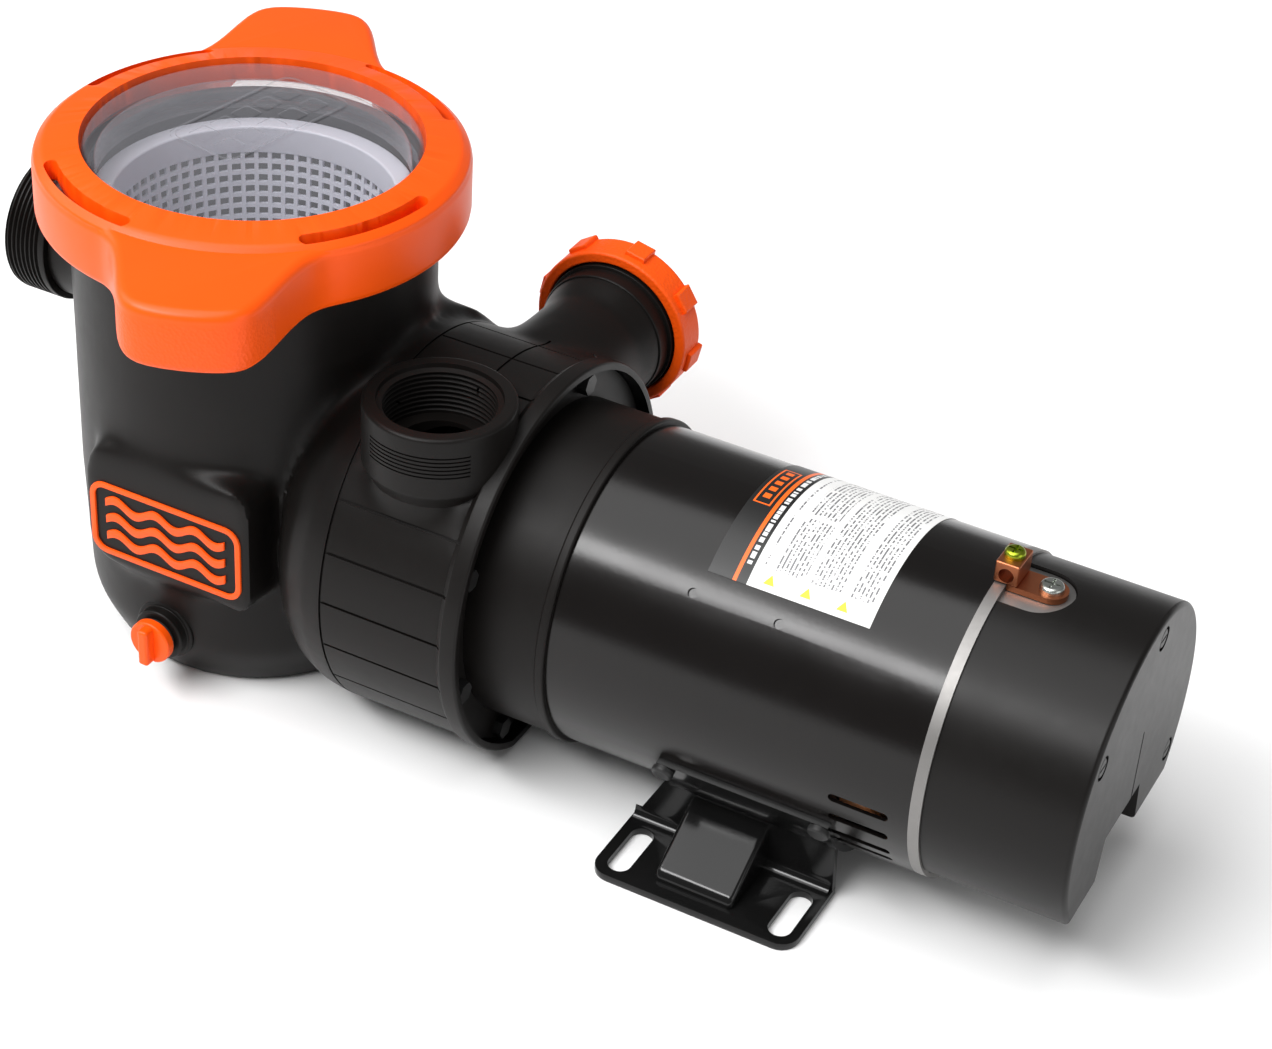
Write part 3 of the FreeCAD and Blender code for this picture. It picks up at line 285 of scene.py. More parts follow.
def combine(piece, tools, operation="DIFFERENCE"):
    """Cuts every tool from piece, or adds it, in one step; the tools are used up."""
    group = bpy.data.collections.new("tools")
    bpy.context.scene.collection.children.link(group)
    for tool in tools:
        group.objects.link(tool)
    modify(piece, "BOOLEAN", operand_type="COLLECTION", collection=group, operation=operation,
           solver="MANIFOLD")
    for tool in tools:
        bpy.data.objects.remove(tool, do_unlink=True)
    bpy.data.collections.remove(group)
    return piece


def soften_edges(piece, width, segments=3, angle=30.0):
    return modify(piece, "BEVEL", width=width * MM, segments=segments, limit_method="ANGLE",
                  angle_limit=math.radians(angle), harden_normals=False)


def shade(piece, angle=30.0):
    focus(piece)
    bpy.ops.object.shade_smooth_by_angle(angle=math.radians(angle))
    return piece


def smoothstep(low, high, value):
    share = min(1.0, max(0.0, (value - low) / (high - low)))
    return share * share * (3 - 2 * share)


def around_shaft(angle, radius, x=0.0):
    """Point at an angle from the top of the shaft's line, positive towards the near side."""
    turn = math.radians(angle)
    return Vector((x, -radius * math.sin(turn), SHAFT_Z + radius * math.cos(turn)))


def finished(piece, finish, body, slot, *nodes, angle=30.0):
    """Last step of every piece: its finish, its body and the nodes that it stands for."""
    piece.data.materials.clear()
    piece.data.materials.append(finish)
    shade(piece, angle)
    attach(piece, body)
    if nodes:
        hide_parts(*nodes)
    return piece


# ---- finishes -------------------------------------------------------------------------------------
class Value:
    """A node's output. Python's operators on it add Math nodes."""

    def __init__(self, finish, socket):
        self.finish = finish
        self.socket = socket

    def maths(self, operation, *inputs):
        return self.finish.node("ShaderNodeMath", {"operation": operation}, dict(enumerate(inputs)))

    def __add__(self, other):
        return self.maths("ADD", self, other)

    def __sub__(self, other):
        return self.maths("SUBTRACT", self, other)

    def __rsub__(self, other):
        return self.maths("SUBTRACT", other, self)

    def __mul__(self, other):
        return self.maths("MULTIPLY", self, other)

    def __truediv__(self, other):
        return self.maths("DIVIDE", self, other)

    def __mod__(self, other):
        return self.maths("FLOORED_MODULO", self, other)

    def __gt__(self, other):
        return self.maths("GREATER_THAN", self, other)

    def __lt__(self, other):
        return self.maths("LESS_THAN", self, other)

    def __or__(self, other):
        return self.maths("MAXIMUM", self, other)

    def __pow__(self, other):
        return self.maths("POWER", self, other)

    def floor(self):
        return self.maths("FLOOR", self)

    def __abs__(self):
        return self.maths("ABSOLUTE", self)

    __radd__ = __add__
    __rmul__ = __mul__


class Finish:
    """A material around one Principled shader."""

    def __init__(self, name, **fixed):
        self.material = bpy.data.materials.new(name)
        self.material.use_nodes = True
        self.tree = self.material.node_tree
        self.shader = self.tree.nodes["Principled BSDF"]
        for key, value in fixed.items():
            self.shader.inputs[key.replace("_", " ")].default_value = value

    def node(self, kind, settings=None, inputs=None, output=0):
        """Adds a node: its settings first, then the values or links of its sockets."""
        node = self.tree.nodes.new(kind)
        for key, value in (settings or {}).items():
            if key == "stops":
                set_stops(node.color_ramp, value)
            else:
                setattr(node, key, value)
        for key, value in (inputs or {}).items():
            if isinstance(value, Value):
                self.tree.links.new(value.socket, node.inputs[key])
            else:
                node.inputs[key].default_value = value
        return Value(self, node.outputs[output])

    def feed(self, socket, value):
        self.tree.links.new(value.socket, self.shader.inputs[socket])

    def place(self, output="Object"):
        return self.node("ShaderNodeTexCoord", output=output)

    def noise(self, scale, detail=2.0, where=None, stretch=None):
        """Noise from 0 to 1; scale is in features per metre."""
        where = where or self.place()
        if stretch:
            where = self.node("ShaderNodeMapping", None, {"Vector": where, "Scale": stretch})
        return self.node("ShaderNodeTexNoise", None, {"Vector": where, "Scale": scale, "Detail": detail})

    def cells(self, scale, where=None):
        return self.node("ShaderNodeTexVoronoi", None, {"Vector": where or self.place(), "Scale": scale})

    def mix(self, share, first, second):
        """Colour between first and second."""
        return self.node("ShaderNodeMix", {"data_type": "RGBA"},
                         {0: share, 6: first, 7: second}, output=2)

    def ramp(self, value, low, high):
        """0 below low, 1 above high, and a straight rise between."""
        return self.node("ShaderNodeMapRange", None,
                         {"Value": value, "From Min": low, "From Max": high})

    def axes(self, output="Object"):
        parts = self.tree.nodes.new("ShaderNodeSeparateXYZ")
        self.tree.links.new(self.place(output).socket, parts.inputs[0])
        return [Value(self, socket) for socket in parts.outputs]

    def bump(self, height, depth, strength=1.0):
        """Bump of the given depth in millimetres."""
        self.feed("Normal", self.node("ShaderNodeBump", None, {
            "Height": height, "Distance": depth * MM, "Strength": strength}))


def set_stops(ramp, stops):
    for index, (position, colour) in enumerate(stops):
        element = ramp.elements[index] if index < len(ramp.elements) else ramp.elements.new(position)
        element.position = position
        element.color = colour


def rgba(colour, factor=1.0):
    return tuple(min(1.0, channel * factor) for channel in colour[:3]) + (1.0,)


def moulded_plastic(name, colour, roughness, grain=0.02, spread=0.18, specular=0.5):
    """Injection-moulded plastic: a fine grain, faint flow marks and uneven gloss."""
    finish = Finish(name, Specular_IOR_Level=specular)
    flow = finish.noise(14.0, 3.0)
    fine = finish.noise(2600.0, 2.0)
    wear = finish.noise(160.0, 4.0)
    finish.feed("Base Color", finish.mix(flow * 0.6 + wear * 0.4, rgba(colour, 1 - spread),
                                         rgba(colour, 1 + spread)))
    finish.feed("Roughness", roughness - 0.09 + flow * 0.1 + wear * 0.08)
    finish.bump(fine + wear * 0.5, grain)
    return finish.material


STIPPLE_R = 111.0        # lobes carry the stipple beyond this distance from the pot's axis


def stippled_orange(name, colour):
    """Orange plastic whose upright lobe faces carry a fine stipple."""
    finish = Finish(name, Specular_IOR_Level=0.28)
    x, y, z = finish.axes()
    outer = (x - POT_X * MM) ** 2.0 + y ** 2.0 > (STIPPLE_R * MM) ** 2
    low = finish.ramp(z, 216.0 * MM, 214.0 * MM)
    dots = finish.cells(720.0)
    flow = finish.noise(20.0, 3.0)
    fine = finish.noise(2200.0, 2.0)
    finish.feed("Base Color", finish.mix(flow, rgba(colour, 0.93), rgba(colour, 1.06)))
    finish.feed("Roughness", 0.32 + flow * 0.1 + outer * low * 0.12)
    finish.bump(fine * 0.08 + dots * outer * low, 0.16)
    return finish.material


def enamel(name, colour, roughness, peel=0.03):
    """Sprayed enamel with a slight orange peel."""
    finish = Finish(name, Specular_IOR_Level=0.32)
    peel_noise = finish.noise(420.0, 2.0)
    cloud = finish.noise(24.0, 4.0)
    finish.feed("Base Color", finish.mix(cloud, rgba(colour, 0.8), rgba(colour, 1.25)))
    finish.feed("Roughness", roughness - 0.05 + cloud * 0.12)
    finish.bump(peel_noise + finish.noise(60.0, 2.0) * 0.8, peel)
    return finish.material


def metal(name, colour, roughness, grain=(1.0, 1.0, 1.0), scale=900.0, depth=0.01):
    """Bare or plated metal with a fine grain, drawn out along one axis where it was worked."""
    finish = Finish(name, Metallic=1.0)
    lines = finish.noise(scale, 3.0, stretch=grain)
    patches = finish.noise(70.0, 3.0)
    finish.feed("Base Color", finish.mix(patches, rgba(colour, 0.86), rgba(colour, 1.1)))
    finish.feed("Roughness", roughness - 0.08 + lines * 0.1 + patches * 0.08)
    finish.bump(lines, depth)
    return finish.material


def soft_rubber(name, colour=(0.02, 0.02, 0.02)):
    finish = Finish(name, Specular_IOR_Level=0.3)
    dust = finish.noise(260.0, 4.0)
    finish.feed("Base Color", finish.mix(dust, rgba(colour, 0.7), rgba(colour, 1.6)))
    finish.feed("Roughness", 0.62 + dust * 0.2)
    finish.bump(finish.noise(1500.0, 2.0), 0.02)
    return finish.material


def clear_plastic(name):
    """Clear moulded lid: see-through face on, brighter and less clear towards its edges."""
    finish = Finish(name, Roughness=0.04, IOR=1.5, Specular_IOR_Level=0.9, Coat_Weight=0.5,
                    Coat_Roughness=0.02)
    facing = finish.node("ShaderNodeLayerWeight", None, {"Blend": 0.5}, output=1)
    haze = finish.noise(30.0, 3.0)
    edge = facing ** 4.0
    finish.feed("Base Color", finish.mix(haze, (0.30, 0.30, 0.33, 1), (0.38, 0.38, 0.41, 1)))
    finish.feed("Alpha", 0.09 + haze * 0.05 + edge * 0.8)
    finish.bump(finish.noise(45.0, 2.0), 0.05)
    return finish.material


def copper_wire(name):
    """Enamelled copper wound in fine turns."""
    finish = Finish(name, Metallic=0.85, Coat_Weight=0.4)
    turns = finish.noise(900.0, 1.0, stretch=(0.15, 1.0, 1.0))
    finish.feed("Base Color", finish.mix(turns, (0.36, 0.11, 0.035, 1), (0.72, 0.3, 0.11, 1)))
    finish.feed("Roughness", 0.28 + turns * 0.2)
    finish.bump(turns, 0.12)
    return finish.material


def laminations(name):
    """Stack of thin steel sheets."""
    finish = Finish(name, Metallic=0.9)
    along_shaft = finish.axes()[0]
    sheets = (along_shaft / (0.6 * MM)) % 1.0 > 0.2
    rust = finish.noise(90.0, 4.0)
    finish.feed("Base Color", finish.mix(sheets * (0.6 + rust * 0.4), (0.05, 0.045, 0.045, 1),
                                         (0.34, 0.34, 0.36, 1)))
    finish.feed("Roughness", 0.42 + rust * 0.2)
    finish.bump(sheets, 0.05)
    return finish.material


LABEL_HEADER = 16.0
LINE_PITCH = 1.62


def printed_label(name, length, width):
    """White film: black heading strip, orange rule and box, rows of illegible print and three signs."""
    finish = Finish(name, Roughness=0.38, Specular_IOR_Level=0.45)
    u, v = finish.axes("UV")[:2]
    along = u * length
    across = v * width
    rows = (along - LABEL_HEADER) / LINE_PITCH
    where = finish.node("ShaderNodeCombineXYZ", None, {0: across * 0.9, 1: rows.floor() * 7.3, 2: 0.0})
    words = finish.node("ShaderNodeTexNoise", None, {"Vector": where, "Scale": 1.0, "Detail": 1.0})
    gaps = abs((along - LABEL_HEADER - 6.0) % 15.5 - 7.5) < 6.4
    margin = (across > 9.0) * (across < width - 4.0) * (along > LABEL_HEADER + 3.0) * (along < length - 2.5)
    column = 1 - (abs(across - width * 0.42) < 1.3) * (along < LABEL_HEADER + 20.0)
    ink = ((rows % 1.0) < 0.42) * (words > 0.47) * gaps * margin * column
    heading = along < LABEL_HEADER
    rule = abs(along - 11.0) < 0.8
    box_along = abs(along - 5.2)
    box_across = abs(across - width * 0.56)
    outer = (box_along < 3.6) * (box_across < 15.0)
    inner = (box_along < 2.9) * (box_across < 14.3)
    bars = (box_along < 1.5) * ((abs((across - 2.0) % 5.2 - 2.6)) < 1.5) * (box_across < 12.6)
    heading_words = finish.node("ShaderNodeTexNoise", None, {
        "Vector": finish.node("ShaderNodeCombineXYZ", None, {0: across * 0.55, 1: 3.0, 2: 0.0}),
        "Scale": 1.0, "Detail": 2.0})
    heading_row = (abs(along - 13.6) < 0.95) * (heading_words > 0.46) * (across > 8.0)
    orange = (1.0, 0.15, 0.01, 1)
    paper = finish.mix(finish.noise(40.0, 3.0), (0.80, 0.80, 0.79, 1), (0.88, 0.88, 0.87, 1))
    colour = finish.mix(ink, paper, (0.16, 0.16, 0.17, 1))
    for place in (24.0, 39.0, 54.0):
        rise = (across - 2.6) / 4.2
        sign = (abs(along - place) < (1 - rise) * 2.3) * (across > 2.6) * (across < 6.8)
        colour = finish.mix(sign, colour, (0.85, 0.78, 0.02, 1))
    strip = finish.mix(rule | (outer * (1 - inner)) | bars, (0.012, 0.012, 0.012, 1), orange)
    strip = finish.mix(heading_row, strip, (0.8, 0.8, 0.8, 1))
    finish.feed("Base Color", finish.mix(heading, colour, strip))
    finish.bump(finish.noise(300.0, 2.0), 0.015)
    return finish.material


FINISHES = {}


def make_finishes(colours):
    """Every finish, by the slot of the record that it belongs to."""
    FINISHES.update({
        "black_moulding": moulded_plastic("black_moulding", colours.moulding, 0.42, 0.035, specular=0.17),
        "bracket_moulding": moulded_plastic("bracket_moulding", colours.moulding, 0.46, 0.03, specular=0.16),
        "orange_plastic": stippled_orange("orange_plastic", colours.orange),
        "clear_plastic": clear_plastic("clear_plastic"),
        "basket_plastic": moulded_plastic("basket_plastic", colours.basket, 0.42, 0.02, 0.05),
        "seal_rubber": soft_rubber("seal_rubber"),
        "ceramic": moulded_plastic("ceramic", (0.72, 0.70, 0.64), 0.25, 0.004, 0.05),
        "impeller_plastic": moulded_plastic("impeller_plastic", (0.05, 0.05, 0.052), 0.45),
        "fan_plastic": moulded_plastic("fan_plastic", (0.04, 0.04, 0.04), 0.5),
        "cover_plastic": moulded_plastic("cover_plastic", (0.0062, 0.0054, 0.0050), 0.36, 0.02, 0.12, 0.2),
        "capacitor_case": moulded_plastic("capacitor_case", (0.03, 0.03, 0.032), 0.35, 0.01),
        "phenolic_board": moulded_plastic("phenolic_board", (0.20, 0.09, 0.04), 0.5, 0.03, 0.3),
        "shell_paint": enamel("shell_paint", colours.enamel, 0.19, 0.016),
        "foot_paint": enamel("foot_paint", (0.006, 0.006, 0.006), 0.12, 0.012),
        "black_screws": enamel("black_screws", (0.015, 0.015, 0.015), 0.4, 0.01),
        "cast_aluminium": metal("cast_aluminium", (0.27, 0.262, 0.255), 0.5, scale=500.0, depth=0.03),
        "lamination_steel": laminations("lamination_steel"),
        "enamelled_copper": copper_wire("enamelled_copper"),
        "stainless_steel": metal("stainless_steel", (0.62, 0.62, 0.62), 0.28, (0.02, 1.0, 1.0)),
        "bearing_steel": metal("bearing_steel", (0.6, 0.6, 0.62), 0.2),
        "zinc_steel": metal("zinc_steel", (0.48, 0.50, 0.47), 0.3),
        "green_steel": metal("green_steel", (0.34, 0.42, 0.03), 0.3),
        "copper": metal("copper", (0.50, 0.17, 0.08), 0.34, (1.0, 0.1, 1.0)),
        "label_film": printed_label("label_film", LABEL_HIGH.x - LABEL_LOW.x, LABEL_ARC),
    })


def paint_frame():
    """Gives every node of the frame the finish of its slot, but the front bell's edge is painted over."""
    painted_over = {"front_end_bell": "shell_paint"}
    for part in frame["record"]["subparts"]:
        node = frame["nodes"][part["node"]]
        node.data.materials.clear()
        node.data.materials.append(FINISHES[painted_over.get(part["node"], part["material_slot"])])


# ---- pump body ------------------------------------------------------------------------------------
THREAD_PITCH = 2.21
COLLAR_R = 30.15
COLLAR_LOW = 132.0
NECK_R = 27.0


def blend_weights(piece, name, nearness):
    """Vertex group whose weight at each vertex is nearness(position in millimetres)."""
    group = piece.vertex_groups.new(name=name)
    for vertex in piece.data.vertices:
        weight = nearness(vertex.co / MM)
        if weight > 0.001:
            group.add([vertex.index], weight, "REPLACE")
    return group


def crease_nearness(sizes):
    """How close a point is to a crease between the pot, the drum and the ports' necks."""
    pot_r = sizes.pot_radius / MM
    drum_r = sizes.drum_radius / MM

    def nearness(point):
        pot = math.hypot(point.x - POT_X, point.y) - pot_r
        drum = math.hypot(point.y, point.z - SHAFT_Z) - drum_r
        upright = math.hypot(point.x - PORT_X, point.y - UPRIGHT_Y) - NECK_R
        rear = math.hypot(point.x - PORT_X, point.z - REAR_PORT_Z) - NECK_R
        if point.y < 0 or point.y > 97:
            rear = 99.0
        if point.z < SHAFT_Z or point.z > COLLAR_LOW:
            upright = 99.0
        spread = sorted((abs(pot), abs(drum), abs(upright), abs(rear)))[1]
        return 1.0 - smoothstep(5.0, 17.0, spread)

    return nearness


def body_trunk(sizes):
    """Pot, drum, shoulder and necks as one skin whose creases run into each other."""
    pot_r = sizes.pot_radius / MM
    drum_r = sizes.drum_radius / MM
    length = RIM_X - 6 - DRUM_FRONT
    pot = turned("pot", [(0, 0), (61, 0, 1), (61, 4, 1), (63.5, 5, 2), (71.5, 22, 12), (pot_r, 80, 60),
                         (pot_r, 204.2, 1.5), (0, 204.2)], POT, UP)
    drum = turned("drum", [(0, 0), (drum_r, 0, 34), (drum_r, length), (0, length)],
                  Vector((DRUM_FRONT, 0, SHAFT_Z)), BACKWARD)
    ridge = prism("ridge", [(-185, 90), (-140, 90), (-138, 138, 18), (-152, 158, 26), (-178, 172, 30),
                            (-196, 176)], -30, 62, lambda u, v, depth: (u, depth, v))
    combine(ridge, [rod("ridge_clip", 78.5, Vector((-240, 0, SHAFT_Z + 8)), Vector((-90, 0, SHAFT_Z + 8)))],
            "INTERSECT")
    upright = rod("upright_neck", NECK_R, Vector((PORT_X, UPRIGHT_Y, 90)), Vector((PORT_X, UPRIGHT_Y, 134)))
    rear = turned("rear_neck", [(0, 0), (NECK_R, 0), (25, 40, 12), (27.8, 52, 6), (27.8, 58), (0, 58)],
                  Vector((PORT_X, 40, REAR_PORT_Z)), AWAY)
    suction = rod("suction_neck", 27.5, Vector((POT_X, 0, SUCTION_Z)),
                  Vector((SUCTION_END + 18, 0, SUCTION_Z)))
    pad = prism("pad", [(-251, 53.5, 14), (-171, 53.5, 9), (-171, 113, 9), (-251, 113, 14)],
                PAD_FACE + 0.1, -30, lambda u, v, depth: (u, depth, v))
    trunk = joined("trunk", [pot, drum, ridge, upright, rear, suction, pad])
    modify(trunk, "REMESH", mode="VOXEL", voxel_size=sizes.skin_voxel, use_smooth_shade=True)
    blend_weights(trunk, "creases", crease_nearness(sizes))
    modify(trunk, "SMOOTH", factor=0.5, iterations=2)
    modify(trunk, "SMOOTH", factor=0.5, iterations=45, vertex_group="creases")
    return trunk


def helix(name, radius, crest, pitch, turns, base, direction):
    """Thread cutter wound along direction: a V that is open at radius and pointed at crest."""
    out = math.copysign(0.4, radius - crest)
    points = [Vector((radius + out, 0)), Vector((crest, pitch / 2)), Vector((radius + out, pitch * 0.94))]
    piece = outline(name, points, lambda u, v: (u, 0, v))
    modify(piece, "SCREW", axis="Z", angle=math.tau, screw_offset=pitch * MM, iterations=turns, steps=64,
           render_steps=64, use_smooth_shade=False)
    bpy.ops.object.mode_set(mode="EDIT")
    bpy.ops.mesh.select_mode(type="EDGE")
    bpy.ops.mesh.select_all(action="DESELECT")
    bpy.ops.mesh.select_non_manifold()
    bpy.ops.mesh.edge_face_add()
    bpy.ops.mesh.select_mode(type="VERT")
    bpy.ops.object.mode_set(mode="OBJECT")
    tidy_mesh(piece)
    return stand(piece, base, direction)


def body_collars(sizes):
    """Crisp parts of the moulding: rim lip, collars, drain boss and the lugs under the ring."""
    lip = turned("lip", [(60, 0), (80.9, 0), (82.9, 2.5, 1.0), (82.9, 9.4, 1.2), (60, 9.4)],
                 Vector((RIM_X - 9.4, 0, SHAFT_Z)), BACKWARD)
    upright = turned("upright_collar", [(0, 0), (27.2, 0), (COLLAR_R, 6, 3),
                                        (COLLAR_R, 32.3, 1.6), (0, 32.3)],
                     Vector((PORT_X, UPRIGHT_Y, UPRIGHT_TOP - 32.3)), UP)
    rear = turned("rear_collar", [(0, 0), (28.4, 0, 0.8), (28.4, 7),
                                  (29.8, 7.4, 0.4), (29.8, 19, 1), (0, 19)],
                  Vector((PORT_X, REAR_PORT_END - 19, REAR_PORT_Z)), AWAY)
    suction = turned("suction_collar", [(0, 0), (COLLAR_R, 0, 0.6), (COLLAR_R, 20, 1.2), (0, 20)],
                     Vector((SUCTION_END + 20, 0, SUCTION_Z)), FRONTWARD)
    drain = turned("drain_boss", [(0, 0), (13.5, 0), (13.5, 14, 1), (11.5, 14, 0.5), (11.5, 18.5, 1),
                                  (0, 18.5)], Vector((POT_X, -58, DRAIN_Z)), NEAR, 64)
    lugs = [turned("lug", [(70, 0), (80, 0, 1), (80, 5.4, 1), (70, 5.4)], Vector((POT_X, 0, 198)), UP, 24, 43,
                   angle - 21.5) for angle in SLOT_ANGLES]
    return [lip, upright, rear, suction, drain] + lugs


def body_hollows():
    """Every hollow of the moulding; the pipe threads come from body_threads."""
    pot = turned("pot_hollow", [(0, 8), (62.5, 8, 10), (62.5, 196), (66.5, 196), (66.5, 210), (0, 210)],
                 POT, UP)
    shroud = rod("shroud", 79.6, Vector((CHAMBER_BACK, 0, SHAFT_Z)), Vector((RIM_X + 2, 0, SHAFT_Z)), 128)
    combine(shroud, [cuboid("shroud_floor", (-90, -60, -20), (-60, 60, 4))])
    chamber = rod("chamber", 68, Vector((-146, 0, SHAFT_Z)), Vector((CHAMBER_BACK + 1, 0, SHAFT_Z)), 96)
    suction = rod("suction_bore", 22, Vector((POT_X, 0, SUCTION_Z)), Vector((SUCTION_END - 2, 0, SUCTION_Z)))
    mouth = Vector((PORT_X, UPRIGHT_Y, UPRIGHT_TOP))
    upright = turned("upright_bore", [(0, -60), (16.5, -60), (16.5, -21.3), (22.2, -21.3), (22.2, -2.5),
                                      (24.4, -1.8), (24.9, 1), (0, 1)], mouth, UP, 96)
    rear = rod("rear_bore", 20, Vector((PORT_X, 10, REAR_PORT_Z)),
               Vector((PORT_X, REAR_PORT_END + 2, REAR_PORT_Z)))
    drain = rod("drain_bore", 7, Vector((POT_X, -50, DRAIN_Z)), Vector((POT_X, -90, DRAIN_Z)), 48)
    return [pot, shroud, chamber, suction, upright, rear, drain]


def body_threads():
    inside = helix("inside_thread", 22.2, 23.5, THREAD_PITCH, 8,
                   Vector((PORT_X, UPRIGHT_Y, UPRIGHT_TOP - 21.0)), UP)
    outside = helix("outside_thread", COLLAR_R, 28.8, THREAD_PITCH, 8,
                    Vector((SUCTION_END + 19, 0, SUCTION_Z)), FRONTWARD)
    patch = [turned("patch", [(29.5, 0), (31, 0), (31, 0.7), (29.5, 0.7)],
                    Vector((PORT_X, UPRIGHT_Y, UPRIGHT_TOP - 8.5 - 1.75 * row)), UP, 24, 84, 240)
             for row in range(6)]
    return [inside, outside] + patch


def panel_groove(front, back, first, span, depth=1.0, radius=81.0):
    """Groove in the drum between two places along the shaft, over a span of angles from the top."""
    steps = max(2, round(abs(span) / 3))
    return turned("groove", [(radius - depth, front), (radius + 1.5, front), (radius + 1.5, back),
                             (radius - depth, back)], SHAFT, BACKWARD, steps, span, first + 180)


def body_grooves():
    """Fine grooves that divide the drum into panels."""
    grooves = [panel_groove(PANEL_FRONT, RIM_X - 7.4, -6.0 + 15.5 * index - 0.4, 0.8)
               for index in range(-2, 9)]
    grooves.append(panel_groove(PANEL_FRONT, PANEL_FRONT + 1.0, -62, 200))
    grooves.append(panel_groove(-103.0, -102.0, -50, 100))
    return grooves


def make_body(sizes):
    trunk = body_trunk(sizes)
    below = cuboid("below_floor", (-180, -100, -30), (-60, 100, 1.0))
    combine(trunk, body_collars(sizes), "UNION")
    combine(trunk, body_hollows() + [below])
    combine(trunk, body_grooves())
    combine(trunk, body_threads())
    eye = turned("eye_tube", [(20, 0), (24, 0), (24, 27.5), (20, 27.5)], Vector((-147, 0, SHAFT_Z)),
                 BACKWARD, 64)
    trunk = joined("pump_body_skin", [trunk, eye])
    finished(trunk, FINISHES["black_moulding"], "pump", "black_moulding", "pump_body", angle=28)
    lip = turned("bracket_lip", [(66.0, 0), (68.3, 0.8, 1.2), (68.3, 4.7, 0.9), (66.0, 4.7)],
                 Vector((SHELL_LOW.x - 5, 0, SHAFT_Z)), BACKWARD, 160)
    finished(lip, FINISHES["bracket_moulding"], "pump", "bracket_moulding")


# ---- badge ----------------------------------------------------------------------------------------
def make_badge():
    """Raised orange frame on the pad, with three plain waves in it."""
    frame_outside = prism("badge_frame", [(-247, 61, 7), (-174.5, 61, 7), (-174.5, 95.7, 7), (-247, 95.7, 7)],
                          PAD_FACE - 0.8, PAD_FACE + 1.5, lambda u, v, depth: (u, depth, v))
    frame_inside = prism("badge_hole", [(-244.6, 63.4, 4.8), (-176.9, 63.4, 4.8), (-176.9, 93.3, 4.8),
                                        (-244.6, 93.3, 4.8)],
                         PAD_FACE - 2, PAD_FACE + 3, lambda u, v, depth: (u, depth, v))
    combine(frame_outside, [frame_inside])
    waves = [badge_wave(-239.5, 57.5, 86.5 - 8.2 * row) for row in range(3)]
    badge = joined("badge_mark", [frame_outside] + waves)
    soften_edges(badge, 0.3, 2)
    finished(badge, FINISHES["orange_plastic"], "pump", "orange_plastic")


def badge_wave(left, length, middle):
    """Raised wavy bar of even width."""
    steps = 60
    top = []
    low = []
    for step in range(steps + 1):
        u = left + length * step / steps
        v = middle + 2.0 * math.sin(math.tau * step / steps * 3)
        top.append(Vector((u, v + 1.9)))
        low.append(Vector((u, v - 1.9)))
    piece = outline("wave", top + low[::-1], lambda u, v: (u, PAD_FACE - 0.8, v))
    bpy.ops.object.mode_set(mode="EDIT")
    bpy.ops.mesh.select_all(action="SELECT")
    bpy.ops.mesh.edge_face_add()
    bpy.ops.mesh.extrude_region_move(TRANSFORM_OT_translate={"value": (0, 2.3 * MM, 0)})
    bpy.ops.object.mode_set(mode="OBJECT")
    tidy_mesh(piece)
    return piece


# ---- strainer basket ------------------------------------------------------------------------------
def holed_grid(name, across, along, wrap, thickness):
    """Grid of across by along square cells, each with a hole, laid over a surface by wrap(u, v)."""
    bpy.ops.object.select_all(action="DESELECT")
    bpy.ops.mesh.primitive_grid_add(x_subdivisions=across, y_subdivisions=along, size=1)
    grid = named(name)
    for vertex in grid.data.vertices:
        vertex.co = Vector(wrap(vertex.co.x + 0.5, vertex.co.y + 0.5)) * MM
    bpy.ops.object.mode_set(mode="EDIT")
    bpy.ops.mesh.select_all(action="SELECT")
    bpy.ops.mesh.remove_doubles(threshold=0.0001)
    bpy.ops.mesh.select_all(action="SELECT")
    bpy.ops.mesh.normals_make_consistent(inside=False)
    bpy.ops.mesh.inset(thickness=0.9 * MM, use_individual=True)
    bpy.ops.mesh.delete(type="FACE")
    bpy.ops.object.mode_set(mode="OBJECT")
    return modify(grid, "SOLIDIFY", thickness=thickness * MM, offset=0.0)


def basket_wall(u, v):
    radius = 48.5 + 8.9 * v
    return (POT_X + radius * math.cos(math.tau * u), radius * math.sin(math.tau * u), 47 + 141 * v)


def basket_floor(u, v):
    """Square grid pressed into a round floor."""
    x, y = 2 * u - 1, 2 * v - 1
    return (POT_X + 48.5 * x * math.sqrt(1 - y * y / 2), 48.5 * y * math.sqrt(1 - x * x / 2), 46.5)


def make_basket():
    """Open basket: square holes in its wall and floor, under a plain band and rim."""
    wall = holed_grid("basket_wall", 64, 28, basket_wall, 1.6)
    floor = holed_grid("basket_floor", 18, 18, basket_floor, 1.8)
    rim = turned("basket_rim", [(56.2, 187, 0.5), (56.4, 199, 1), (65, 199, 0.8), (65, 196, 0.5),
                                (58.8, 196, 0.5), (58.6, 187, 0.5)], POT, UP)
    basket = joined("basket_grid", [wall, floor, rim])
    finished(basket, FINISHES["basket_plastic"], "basket", "basket_plastic", "strainer_basket", angle=40)


# ---- locking ring and lid -------------------------------------------------------------------------
LOBE_CURVE = (           # angle from a lobe's middle, and the ring's reach there
    (0, 128.9), (5, 128.6), (8, 127.8), (10, 126.2), (12, 122.6), (14, 116.2), (16, 109.6), (18, 103.4),
    (20, 98.4), (22.5, 93.4), (25, 89.8), (28, 87.3), (31, 86.3), (91, 86.3))


def lobe_reach(angle, curve=LOBE_CURVE):
    """Ring's reach at an angle from the nearer lobe, read off its curve."""
    for (first, low), (last, high) in zip(curve, curve[1:]):
        if angle <= last:
            return low + (high - low) * (angle - first) / (last - first)
    return curve[-1][1]


